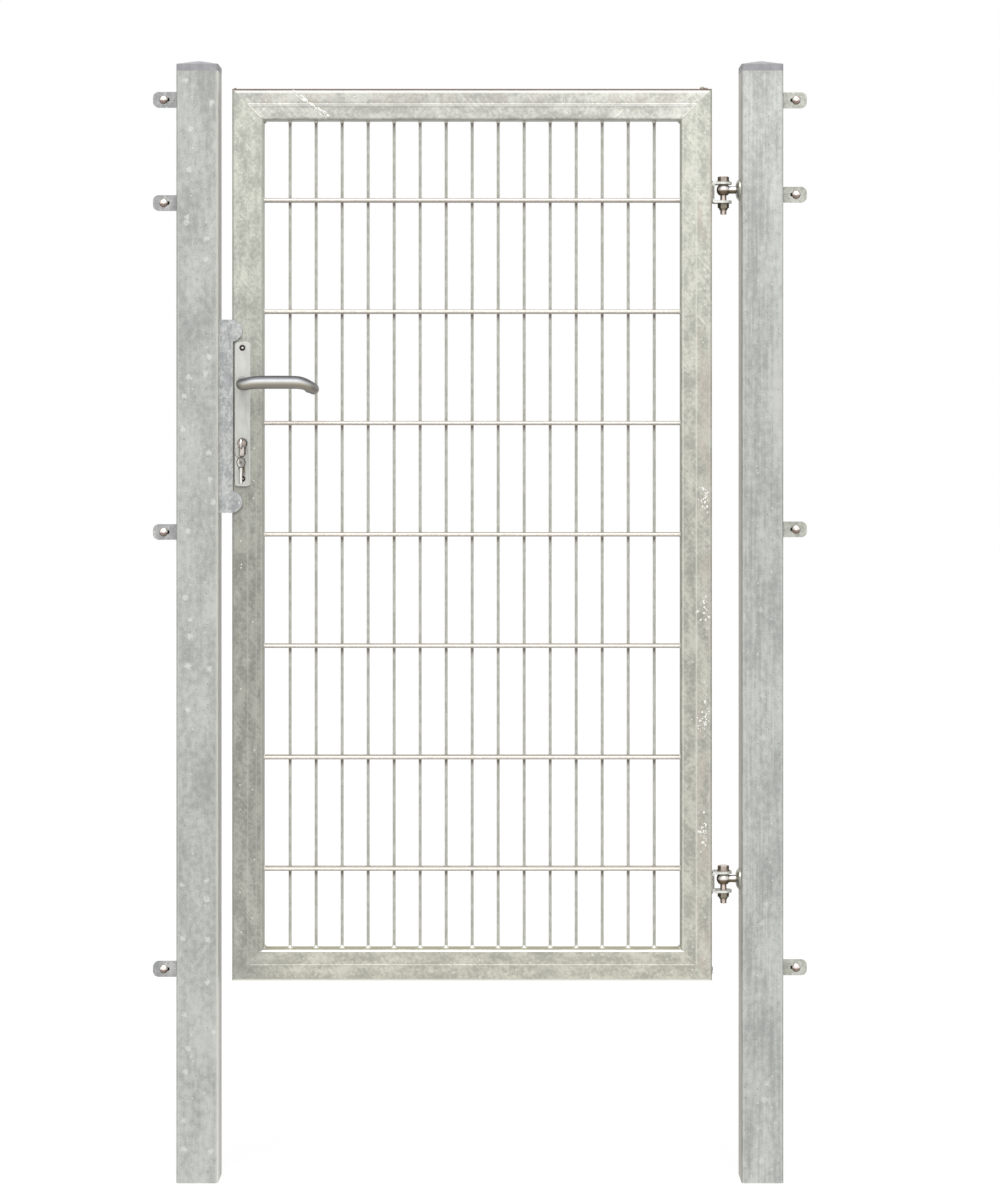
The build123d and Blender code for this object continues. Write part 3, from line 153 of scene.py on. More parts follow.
class Shade:
    """An output socket of one material's nodes; arithmetic on it adds Math nodes."""

    def __init__(self, tree, socket=None):
        self.tree = tree
        self.socket = socket

    def node(self, kind, output=0, stops=None, sockets=None, **settings):
        """Adds a node: its settings and ramp stops first, then the values or links of its sockets."""
        node = self.tree.nodes.new(kind)
        for name, value in settings.items():
            setattr(node, name, value)
        if stops:
            elements = node.color_ramp.elements
            elements[0].position, elements[0].color = stops[0]
            elements[1].position, elements[1].color = stops[-1]
            for place, colour in stops[1:-1]:
                elements.new(place).color = colour
        for key, value in (sockets or {}).items():
            if isinstance(value, Shade):
                self.tree.links.new(value.socket, node.inputs[key])
            else:
                node.inputs[key].default_value = value
        return Shade(self.tree, node.outputs[output]) if len(node.outputs) else None

    def math(self, operation, first, second=0.0):
        """A Math node on two values."""
        return self.node("ShaderNodeMath", operation=operation, sockets={0: first, 1: second})

    def __add__(self, other):
        return self.math("ADD", self, other)

    def __sub__(self, other):
        return self.math("SUBTRACT", self, other)

    def __rsub__(self, other):
        return self.math("SUBTRACT", other, self)

    def __mul__(self, other):
        return self.math("MULTIPLY", self, other)

    __radd__ = __add__
    __rmul__ = __mul__

    def __abs__(self):
        return self.math("ABSOLUTE", self)

    def most(self, other):
        """The larger of two values."""
        return self.math("MAXIMUM", self, other)

    def fraction(self):
        """What is left over the whole number below."""
        return self.math("FRACT", self)

    def rise(self, low, high):
        """0 below low, 1 above high, a smooth step between them; low may be the larger one."""
        return self.node("ShaderNodeMapRange", interpolation_type="SMOOTHSTEP",
                         sockets={"Value": self, "From Min": low, "From Max": high})

    def band(self, low, middle, high):
        """0 outside low and high, 1 at the middle."""
        return self.rise(low, middle) * self.rise(high, middle)

    def mix(self, low, high):
        """A colour that goes from low to high as this value goes from 0 to 1."""
        return self.node("ShaderNodeMix", output=2, data_type="RGBA", sockets={0: self, 6: low, 7: high})

    def between(self, low, high):
        """Clouds of two colours, made of this noise."""
        return self.rise(0.35, 0.65).mix(srgb(*low), srgb(*high))

    def scale(self, colour):
        """A colour made lighter or darker by this value."""
        return self.node("ShaderNodeVectorMath", operation="SCALE", sockets={0: colour, "Scale": self})

    def ramp(self, *stops):
        """A colour ramp; each stop is (place, colour)."""
        return self.node("ShaderNodeValToRGB", stops=stops, sockets={0: self})

    def grain(self, size, detail=4.0, turn=0.0, shift=0.0):
        """Cloudy noise on this vector: patches of size (x, y, z), turned about Y and moved along."""
        scale = tuple(1 / length for length in size)
        laid = self.node("ShaderNodeMapping", sockets={
            "Vector": self.node("ShaderNodeVectorRotate", rotation_type="Y_AXIS",
                                sockets={"Vector": self, "Angle": turn}) if turn else self,
            "Location": (shift, shift, shift), "Scale": scale})
        return laid.node("ShaderNodeTexNoise", sockets={"Vector": laid, "Scale": 1.0, "Detail": detail})

    def spots(self, spacing, radius, share, shift=0.0, ragged=0.0):
        """Spots on faces that look forward or back, about this far apart.

        Share is how many of the places hold a spot, and ragged frays the spots' rims.
        """
        places = {"Vector": self.node("ShaderNodeCombineXYZ", sockets={
            0: part_of(self, "X") * (1 / spacing) + shift, 1: part_of(self, "Z") * (1 / spacing) + shift})}
        places["Scale"] = 1.0
        near = self.node("ShaderNodeTexVoronoi", output="Distance", voronoi_dimensions="2D", sockets=places)
        cell = self.node("ShaderNodeTexVoronoi", output="Color", voronoi_dimensions="2D", sockets=places)
        chosen = cell.node("ShaderNodeSeparateColor", sockets={0: cell}).rise(1 - share, 1 - share + 0.05)
        if ragged:
            fray = self.grain((0.7 * radius,) * 3, 2.0, shift=shift)
            near = near + (fray - 0.5) * (ragged * radius / spacing)
        return near.rise(radius / spacing, 0.5 * radius / spacing) * chosen


def new_material(name):
    """An empty material, with its object coordinates and its object normal."""
    material = bpy.data.materials.new(name)
    material.use_nodes = True
    material.node_tree.nodes.clear()
    blank = Shade(material.node_tree)
    point = blank.node("ShaderNodeTexCoord", output="Object")
    normal = blank.node("ShaderNodeTexCoord", output="Normal")
    return material, point, normal


def part_of(vector, axis):
    """One part of a vector: "X", "Y" or "Z"."""
    return vector.node("ShaderNodeSeparateXYZ", output=axis, sockets={0: vector})


def flat_face(normal):
    """1 on faces that look forward or back."""
    return abs(part_of(normal, "Y")).rise(0.7, 0.95)


def radius_from(point, x, z, squeeze=1.0):
    """Distance from a line through (x, z) that runs forward; squeeze narrows the circles to ovals."""
    across = (part_of(point, "X") - x) * (1 / squeeze)
    offset = point.node("ShaderNodeCombineXYZ", sockets={0: across, 2: part_of(point, "Z") - z})
    return offset.node("ShaderNodeVectorMath", output="Value", operation="LENGTH", sockets={0: offset})


def hinge_rise(point):
    """Height above the middle of the nearest hinge."""
    turns = (part_of(point, "Z") - hinge_low) * (1 / hinge_spacing) + 0.5
    return (turns.fraction() - 0.5) * hinge_spacing


def cylinder_outline(point, inside, outside):
    """1 on a line along the profile cylinder's outline, from this far inside it to this far outside it."""
    drop = cylinder_z - part_of(point, "Z")
    aside = abs(part_of(point, "X") - lock_x)

    def rim(place, edge):
        return place.band(edge - inside, edge, edge + outside)

    stem_sides = rim(aside, STEM_HALF) * drop.rise(cylinder_drop + 0.0007, cylinder_drop - 0.0013)
    stem_foot = rim(drop, cylinder_drop) * aside.rise(STEM_HALF + 0.001, STEM_HALF - 0.001)
    below = drop.rise(0.0068, 0.0078)
    round_part = rim(radius_from(point, lock_x, cylinder_z), CYLINDER_R)
    return round_part * (1 - below) + stem_sides.most(stem_foot) * below


def lined(colour, place, lines):
    """Paints soft lines over a colour: each is (low, middle, high, strength, tint) along a place."""
    for low, middle, high, strength, tint in lines:
        colour = (place.band(low, middle, high) * strength).mix(colour, srgb(*tint))
    return colour


def painted_by_facing(colour, normal, facing_tints):
    """Paints light and shade by the way a face looks: each is (axis, low, high, strength, tint).

    A tint is full where the normal's part on its axis has gone from low to high; "|X" is that part's size.
    """
    for axis, low, high, strength, tint in facing_tints:
        facing = part_of(normal, axis[-1])
        facing = abs(facing) if axis[0] == "|" else facing
        colour = (facing.rise(low, high) * strength).mix(colour, srgb(*tint))
    return colour


def coat(material, colour, rough, metallic, height=None, relief=0.0002, **fixed):
    """The shader itself: what varies is linked, what is the same all over is set on its socket."""
    blank = Shade(material.node_tree)
    sockets = {"Base Color": colour, "Roughness": rough, "Metallic": metallic}
    if height is not None:
        sockets["Normal"] = blank.node("ShaderNodeBump", sockets={
            "Height": height, "Strength": 1.0, "Distance": relief})
    sockets.update(fixed)
    shader = blank.node("ShaderNodeBsdfPrincipled", sockets=sockets)
    blank.node("ShaderNodeOutputMaterial", sockets={"Surface": shader})
    return material


def post_zinc():
    """Matte dip-zinc of the posts: soft clouds, faint streaks, fine grain, pale splashes and dark pits.

    The hinge post's upper end is a little paler. Its rounded corners carry a painted highlight and painted
    shade, and its faces that look inward carry painted light.
    """
    material, point, normal = new_material("post_zinc")
    clouds = point.grain((0.05, 0.05, 0.13), 4.0)
    mottle = point.grain((0.010, 0.010, 0.014), 5.0, shift=3.0)
    streaks = point.grain((0.0035, 0.0035, 0.14), 3.0, shift=7.0)
    speckle = point.grain((0.0020, 0.0020, 0.0026), 3.0, shift=11.0)
    right = part_of(point, "X").rise(0.0, 0.1)
    tone = clouds * 0.30 + mottle * 0.27 + speckle * 0.25 + (streaks - 0.5) * (right * 0.12 + 0.07) + 0.09
    tone = tone.rise(0.39, 0.61)
    colour = tone.ramp((0.0, srgb(160, 162, 158)), (0.5, srgb(183, 185, 180)), (1.0, srgb(202, 203, 198)))
    paler = part_of(point, "Z").rise(1.55, 2.05) * right
    colour = (paler * 0.16 + 1.0).scale(colour)
    flat = flat_face(normal)
    splashes = point.spots(0.046, 0.0066, 0.42, ragged=1.8) * flat * (1 - right * 0.4)
    dots = point.spots(0.027, 0.0021, 0.2, shift=2.3, ragged=1.2) * flat
    pits = point.spots(0.021, 0.0014, 0.26, shift=5.7, ragged=0.8) * flat
    colour = (splashes * 0.6).mix(colour, srgb(224, 226, 221))
    colour = (dots * 0.7).mix(colour, srgb(222, 223, 218))
    colour = (pits * 0.75).mix(colour, srgb(124, 126, 122))
    side = abs(part_of(normal, "X"))
    inner = (part_of(normal, "X") * part_of(point, "X")).rise(-0.1, -0.3)
    inward = inner * (1 - right)
    # Painted highlight on the rounded corners, and painted shade where they turn towards the sides.
    edge = side.band(0.08, 0.35, 0.62) * (1 - inward * 0.8)
    colour = (edge * 0.6).mix(colour, srgb(210, 210, 200))
    colour = (side.band(0.72, 0.9, 0.985) * (1 - inward) * 0.6).mix(colour, srgb(128, 127, 118))
    # Painted highlight along the left post's inner front corner.
    inner_corner_highlight = inward * part_of(point, "Y").rise(-0.004, -0.024) * side.rise(0.2, 0.95)
    colour = (inner_corner_highlight * 0.85).mix(colour, srgb(252, 252, 244))
    # Faces that look inward: a lighter, warmer colour and more metal, painted light where the lamps leave
    # them dim.
    inner_face_light = inner * side.rise(0.9, 0.99)
    colour = (inner_face_light * 0.5).mix(colour, right.mix(srgb(190, 187, 180), srgb(188, 180, 168)))
    rough = 0.52 + 0.16 * mottle
    metallic = inner_face_light * (0.3 - right * 0.12) + 0.35
    height = mottle * 0.4 + speckle * 0.3 + splashes * 0.8 + dots * 0.6 - pits * 0.6
    return coat(material, colour, rough, metallic, height, 0.0002)


def leaf_zinc(name, tones, drift, along, inner, outward, lines, foot_gain=0.0, blush=0.0, dust_and_shade=0.3, underside_light=0.0):
    """Brighter dip-zinc of one frame tube.

    Its tone drifts from the first to the second between two places on an axis; brushed hatching lies
    across it in patches, and thin lines of painted highlight and painted shade follow its edges and seam,
    measured from the inner edge. Foot gain makes its lower end paler; blush warms patches of its outer half;
    dust and shade darkens and dulls what faces up, partly dust and partly painted shade; and underside light
    paints what faces down bright and metallic, a painted reflection of the floor.
    """
    material, point, normal = new_material(name)
    patch = (0.022, 0.022, 0.05) if along == "Z" else (0.05, 0.022, 0.022)
    out = (part_of(point, "X" if along == "Z" else "Z") - inner) * outward
    outer_half = out.rise(0.026, 0.034)
    axis, near, far = drift
    middle = part_of(point, axis).rise(near, far).mix(srgb(*tones[0]), srgb(*tones[1]))
    clouds = point.grain(patch, 5.0, shift=1.0)
    mottle = point.grain((0.007, 0.007, 0.007), 5.0, shift=4.0)
    speckle = point.grain((0.0022, 0.0022, 0.0022), 2.0, shift=8.0)
    hatch = point.grain((0.0024, 0.0024, 0.040), 3.0, turn=math.radians(42), shift=2.0)
    hatched = point.grain((0.04, 0.04, 0.06), 2.0, shift=6.0).rise(0.48, 0.62)
    tone = (clouds * 0.40 + mottle * 0.30 + speckle * 0.2 + hatch * 0.10).rise(0.40, 0.60)
    colour = (tone * 0.46 + 0.76).scale(middle)
    colour = (part_of(point, "Z").rise(0.75, 0.5) * foot_gain + 1.0).scale(colour)
    colour = (hatched * hatch.rise(0.5, 0.62) * 0.09 + 1.0).scale(colour)
    scratched = point.grain((0.03, 0.03, 0.03), 2.0, shift=12.0).rise(0.56, 0.64)
    scratches = point.grain((0.0016, 0.0016, 0.05), 2.0, turn=math.radians(-48), shift=9.0).rise(0.60, 0.66)
    colour = (scratches * scratched * 0.17 + 1.0).scale(colour)
    blushed = point.grain((0.03, 0.03, 0.09), 3.0, shift=14.0).rise(0.48, 0.60) * outer_half * blush
    colour = blushed.mix(colour, srgb(196, 183, 172))
    flat = flat_face(normal)
    drops = point.spots(0.024, 0.0019, 0.2, ragged=0.8) * flat
    pits = point.spots(0.022, 0.0013, 0.25, shift=5.7, ragged=0.8) * flat
    colour = (drops * 0.8).mix(colour, srgb(236, 236, 229))
    colour = (pits * 0.7).mix(colour, srgb(128, 127, 118))
    # Lines along the tube's edges and seam: painted highlights and painted shade.
    colour = lined(colour, out, lines)
    # Faces that look up: partly dust, partly painted shade against the steep key light.
    lying = part_of(normal, "Z").rise(0.93, 0.99) * dust_and_shade
    colour = (lying * (0.7 + 0.3 * tone)).mix(colour, srgb(164, 159, 132))
    # Faces that look down: painted bright, a painted reflection of the floor.
    under = part_of(normal, "Z").rise(-0.25, -0.8) * underside_light
    colour = under.mix(colour, srgb(246, 245, 232))
    rough = (0.42 + 0.2 * mottle).most(lying * 0.9)
    height = mottle * 0.5 + hatch * 0.25 + drops * 0.7 - pits * 0.4
    return coat(material, colour, rough, 0.4 - lying * 0.4 + under * 0.6, height, 0.0002)


def zinc(name, low, high, facing_tints, metallic=0.4, gloss=0.0):
    """Plain zinc: two tones in small clouds, with painted light and shade by the way that each face looks."""
    material, point, normal = new_material(name)
    mottle = point.grain((0.004, 0.004, 0.004), 4.0)
    colour = mottle.between(low, high)
    colour = painted_by_facing(colour, normal, facing_tints)
    rough = 0.42 - gloss + 0.16 * mottle
    return coat(material, colour, rough, metallic, mottle, 0.0001)


def wire_zinc():
    """Dull dip-zinc on the upright wires, with painted shadows below each rod and under the top rail, and
    painted highlights on their sides.
    """
    material, point, normal = new_material("wire_zinc")
    mottle = point.grain((0.008, 0.008, 0.013), 4.0)
    rise = part_of(point, "Z")
    colour = mottle.between((172, 171, 160), (194, 193, 183))
    # Painted shadows of each rod and of the top rail on the wires.
    rod_shadow = ((rise - lowest_rod) * (1 / rod_pitch)).fraction().band(0.91, 0.965, 0.988)
    rail_shadow = rise.rise(opening_top - 0.016, opening_top - 0.004)
    colour = (rod_shadow.most(rail_shadow) * 0.75).mix(colour, srgb(104, 90, 80))
    # Painted highlight on the wires' sides.
    colour = painted_by_facing(colour, normal, (("|X", 0.5, 0.95, 0.75, (236, 235, 228)),))
    rough = 0.42 + 0.2 * mottle
    return coat(material, colour, rough, 0.4, mottle, 0.0002)


def hinge_bolt_zinc():
    """Plating on the hinge bolts: browned heads with painted light and shade, and a pale shank with painted
    shade towards its sides.
    """
    material, point, normal = new_material("hinge_bolt_zinc")
    mottle = point.grain((0.004, 0.004, 0.004), 4.0)
    head = mottle.between((164, 152, 142), (190, 178, 168))
    head = painted_by_facing(head, normal, HEAD_PAINTED_LIGHT)
    # Painted shade towards the shank's sides.
    shank = painted_by_facing(srgb(238, 222, 212), normal, (("|X", 0.25, 0.75, 0.9, (84, 64, 54)),))
    colour = hinge_rise(point).rise(0.0206, 0.0204).mix(head, shank)
    return coat(material, colour, 0.34 + 0.16 * mottle, 0.6, mottle, 0.0001)


def bracket_zinc():
    """Bright dip-zinc on the hinge brackets, with painted shade in the web between the straps, along the
    straps' edges and on what faces down.
    """
    material, point, normal = new_material("bracket_zinc")
    mottle = point.grain((0.005, 0.005, 0.005), 4.0)
    colour = mottle.between((214, 216, 208), (242, 243, 236))
    # Painted shade in the web between the straps.
    web = part_of(point, "X").rise(leaf_right + 0.006, leaf_right + 0.004)
    web = web * abs(hinge_rise(point)).rise(0.0140, 0.0115)
    colour = (web * 0.75).mix(colour, srgb(104, 90, 78))
    # Painted shade along the straps' edges and on what faces down.
    colour = lined(colour, abs(hinge_rise(point)), (
        (0.0143, 0.0155, 0.0166, 0.55, (92, 80, 70)), (0.0193, 0.0206, 0.022, 0.55, (92, 80, 70))))
    colour = painted_by_facing(colour, normal, (("Z", -0.3, -0.9, 0.7, (120, 108, 94)),))
    return coat(material, colour, 0.40 + 0.16 * mottle, 0.4, mottle, 0.00012)


def flat_zinc(name, dark, middle, pale):
    """Dip-zinc on cut plate: a cooler grey with fine speckle, pale drops and painted shade along its edges.
    """
    material, point, normal = new_material(name)
    clouds = point.grain((0.025, 0.025, 0.04), 5.0)
    mottle = point.grain((0.0045, 0.0045, 0.006), 4.0, shift=3.0)
    speckle = point.grain((0.002, 0.002, 0.002), 2.0, shift=8.0)
    tone = (clouds * 0.4 + mottle * 0.35 + speckle * 0.25).rise(0.40, 0.60)
    colour = tone.ramp((0.0, srgb(*dark)), (0.5, srgb(*middle)), (1.0, srgb(*pale)))
    drops = point.spots(0.020, 0.0018, 0.3, ragged=0.8) * flat_face(normal)
    colour = (drops * 0.8).mix(colour, srgb(228, 229, 230))
    # Painted shade on the edges.
    colour = painted_by_facing(colour, normal, (("|Y", 0.75, 0.3, 0.45, (120, 116, 108)),))
    rough = 0.45 + 0.2 * mottle
    return coat(material, colour, rough, 0.4, mottle * 0.6 + drops * 0.6, 0.0002)


def lever_aluminium():
    """Satin anodised lever: fine lines along the grip, a painted highlight band with painted shade above it
    and a warm painted reflection below, and painted shade on its ends.
    """
    material, point, normal = new_material("lever_aluminium")
    lines = point.grain((0.02, 0.0005, 0.0005), 2.0)
    mottle = point.grain((0.02, 0.02, 0.02), 3.0, shift=2.0)
    # Painted light by how far each face looks up: dark painted shade on top, a painted highlight band, a warm
    # painted reflection below.
    up = part_of(normal, "Z") * 0.5 + 0.5
    colour = up.ramp(
        (0.0, srgb(112, 110, 105)), (0.06, srgb(150, 147, 141)), (0.095, srgb(163, 159, 152)),
        (0.175, srgb(154, 148, 138)), (0.25, srgb(155, 149, 137)), (0.33, srgb(161, 155, 139)),
        (0.41, srgb(181, 177, 163)), (0.49, srgb(199, 197, 190)), (0.565, srgb(200, 200, 198)),
        (0.645, srgb(165, 166, 168)), (0.725, srgb(118, 118, 122)), (0.80, srgb(101, 101, 104)),
        (0.88, srgb(105, 106, 108)), (0.95, srgb(86, 87, 89)), (1.0, srgb(78, 79, 81)))
    colour = (mottle * 0.16 + 0.92).scale(colour)
    # Painted shade on the lever's ends.
    colour = painted_by_facing(colour, normal, (("|X", 0.35, 0.95, 0.7, (112, 110, 108)),))
    rough = 0.42 + 0.12 * lines
    return coat(material, colour, rough, 0.85, lines, 0.00004)


def plate_aluminium():
    """Satin lock plate, brushed up and down, with a painted highlight on its right edge, painted shade on its
    left edge and foot, a painted shadow right of the hanging key, and painted shade round the cylinder and in
    the screws' recesses.
    """
    material, point, normal = new_material("plate_aluminium")
    lines = point.grain((0.0006, 0.0006, 0.03), 3.0)
    mottle = point.grain((0.02, 0.02, 0.05), 3.0, shift=2.0)
    colour = (lines * 0.5 + mottle * 0.5).rise(0.38, 0.62).mix(srgb(194, 195, 189), srgb(214, 215, 209))
    # Painted highlight on the right edge, painted shade on the left edge and the foot.
    colour = painted_by_facing(colour, normal, (
        ("X", 0.3, 0.6, 0.9, (250, 250, 246)), ("X", -0.3, -0.6, 0.8, (112, 110, 104)),
        ("Z", -0.3, -0.6, 0.85, (104, 82, 66))))
    # Painted shadow of the hanging key, to its right.
    key_shadow = part_of(point, "X").band(lock_x - 0.006, lock_x + 0.0036, lock_x + 0.0068)
    key_shadow = key_shadow * part_of(point, "Z").band(spare_bow_z - 0.042, spare_bow_z - 0.014, spare_bow_z + 0.012)
    colour = (key_shadow * 0.85).mix(colour, srgb(104, 76, 58))
    # Painted shade round the cylinder's outline.
    colour = (cylinder_outline(point, 0.0004, 0.0028) * 0.85).mix(colour, srgb(52, 42, 36))
    # Painted shade in each screw's recess.
    for z in plate_screw_places:
        screw_recess_shade = radius_from(point, lock_x, z).band(0.0036, 0.0051, 0.0066)
        colour = screw_recess_shade.mix(colour, srgb(24, 19, 17))
    rough = 0.36 + 0.16 * lines
    return coat(material, colour, rough, 0.6, lines, 0.00005)


def plastic(name, low, high, rough_low):
    """Moulded plastic with a fine eroded surface."""
    material, point, _ = new_material(name)
    fine = point.grain((0.0009, 0.0009, 0.0009), 2.0)
    clouds = point.grain((0.02, 0.02, 0.02), 3.0, shift=2.0)
    colour = clouds.between(low, high)
    rough = rough_low + 0.15 * fine
    return coat(material, colour, rough, 0.0, fine, 0.00012)


def bright_metal(name, low, high, rough_low, facing_tints, outline=None):
    """Plated metal of the lock, the cylinder and the keys: pale fronts, painted shade on their sides.

    Outline, where there is one, takes the object coordinates and gives 1 where painted shade lines the front.
    """
    material, point, normal = new_material(name)
    lines = point.grain((0.0006, 0.004, 0.012), 3.0)
    clouds = point.grain((0.008, 0.008, 0.008), 4.0, shift=2.0)
    colour = clouds.between(low, high)
    # Painted shade along the outline, where there is one.
    if outline:
        colour = (outline(point) * 0.9).mix(colour, srgb(52, 42, 36))
    colour = painted_by_facing(colour, normal, facing_tints)
    rough = rough_low + 0.15 * lines
    return coat(material, colour, rough, 0.9, lines, 0.00004)


def body_outline(point):
    """Painted shade along the cylinder's outline, on the cylinder itself."""
    return cylinder_outline(point, 0.0018, 0.001)


def plug_outline(point):
    """Painted shade round the plug's rim."""
    return radius_from(point, lock_x, cylinder_z).rise(0.0050, 0.0060)


def screw_outline(point):
    """Painted shade round each plate screw's head, thicker on its left."""
    upper, lower = (radius_from(point, lock_x + 0.0006, z) for z in plate_screw_places)
    return upper.rise(0.0019, 0.0029) * lower.rise(0.0019, 0.0029)


def spare_outline(point):
    """The hanging key's painted shade: round its bow, in its middle and on its right, and down the blade's
    sides.
    """
    blade = (spare_bow_z - part_of(point, "Z")).rise(0.0100, 0.0115)
    bow_edge = radius_from(point, lock_x, spare_bow_z, 0.82).rise(0.0080, 0.0096)
    bow_shade = part_of(point, "X").rise(lock_x - 0.006, lock_x + 0.001) * 0.7
    bow_shade = bow_shade.most(radius_from(point, lock_x, spare_bow_z).rise(0.0072, 0.0015) * 0.85)
    blade_edge = abs(part_of(point, "X") - lock_x).rise(0.0022, 0.0030)
    return bow_edge.most(bow_shade) * (1 - blade) + blade_edge * blade


def side_shade(tint):
    """Painted shade on every face that looks away from the front and the back."""
    return (("|Y", 0.85, 0.45, 0.85, tint),)


# Painted light and shade on plated pieces, by the way that each face looks
# Rods: painted shade on top against the steep key light, and a warm painted reflection below.
ROD_PAINTED_LIGHT = (("Z", 0.3, 0.75, 0.85, (148, 138, 129)), ("Z", -0.25, -0.7, 0.8, (172, 162, 152)))
# Welds: painted shade on what faces down.
WELD_SHADE_BELOW = (("Z", -0.25, -0.9, 0.55, (128, 116, 102)),)
# Lug bolt heads and eyes: a warm painted reflection on their lower halves and dark painted shade round their
# outlines.
DOME_PAINTED_LIGHT = (("Z", 0.06, -0.22, 0.85, (132, 106, 92)), ("|Y", 0.82, 0.66, 0.9, (70, 52, 44)))
EYE_PAINTED_LIGHT = (("Z", 0.04, -0.20, 0.94, (106, 84, 52)), ("|Y", 0.70, 0.42, 0.97, (46, 25, 16)))
# Hinge bolt heads: painted shade on their sides and undersides, a painted highlight on top.
HEAD_PAINTED_LIGHT = (
    ("|X", 0.3, 0.75, 0.85, (96, 84, 74)), ("Z", 0.5, 0.9, 0.5, (206, 200, 190)),
    ("Z", -0.5, -0.9, 0.7, (92, 78, 64)))
# Hinge nuts: painted shade on their sides and undersides.
NUT_PAINTED_SHADE = (("|X", 0.3, 0.75, 0.8, (92, 85, 70)), ("Z", -0.2, -0.7, 0.7, (84, 75, 62)))
# Eye washers: painted shade on top, below and along their left edges.
DISC_PAINTED_SHADE = (
    ("Z", 0.55, 0.9, 0.5, (140, 138, 130)), ("Z", -0.2, -0.75, 0.6, (150, 150, 138)),
    ("X", -0.6, -0.95, 0.6, (112, 106, 96)))
# Threads: painted shade on their sides.
THREAD_PAINTED_SHADE = (("|X", 0.3, 0.8, 0.7, (96, 78, 68)),)
# Lug washers: their fronts painted near black, as the shadow in the lugs' slots.
WASHER_PAINTED_SHADOW = (("Y", -0.5, -0.9, 0.95, (34, 27, 23)),)
# Plate screws: painted shade round the rims of their heads.
SCREW_PAINTED_SHADE = (("|Y", 0.995, 0.986, 0.97, (34, 27, 24)),)

finishes = {
    "post_zinc": post_zinc(),
    "flat_zinc": flat_zinc("flat_zinc", (158, 160, 162), (180, 182, 181), (202, 203, 201)),
    "bolt_zinc": zinc("bolt_zinc", (234, 224, 218), (250, 243, 238), DOME_PAINTED_LIGHT, 0.6, 0.1),
    "lever_aluminium": lever_aluminium(),
    "plate_aluminium": plate_aluminium(),
    "cap_plastic": plastic("cap_plastic", (158, 157, 161), (171, 170, 173), 0.5),
    "bush_plastic": plastic("bush_plastic", (184, 185, 180), (198, 199, 194), 0.45),
    "screw_steel": bright_metal("screw_steel", (222, 216, 210), (244, 240, 236), 0.28, SCREW_PAINTED_SHADE),
    "lock_steel": bright_metal(
        "lock_steel", (168, 167, 164), (190, 189, 186), 0.3, side_shade((112, 108, 102))),
    "cylinder_brass": bright_metal(
        "cylinder_brass", (196, 188, 180), (218, 210, 202), 0.28, side_shade((62, 52, 46))),
    "key_brass": bright_metal(
        "key_brass", (226, 222, 214), (246, 243, 237), 0.26, side_shade((72, 60, 52))),
    "ring_steel": bright_metal(
        "ring_steel", (142, 136, 130), (186, 180, 174), 0.22, side_shade((48, 42, 38))),
}
rod_finish = zinc("rod_zinc", (222, 216, 206), (242, 237, 228), ROD_PAINTED_LIGHT)
head_finish = hinge_bolt_zinc()
thread_finish = zinc("thread_zinc", (196, 180, 170), (222, 208, 199), THREAD_PAINTED_SHADE, 0.6, 0.1)
eye_finish = zinc("eye_zinc", (240, 233, 226), (253, 249, 245), EYE_PAINTED_LIGHT, 0.5, 0.1)
bracket_finish = bracket_zinc()
left_lug = flat_zinc("left_lug_zinc", (154, 155, 156), (174, 174, 173), (196, 196, 194))
right_lug = flat_zinc("right_lug_zinc", (166, 167, 157), (184, 185, 175), (202, 203, 194))
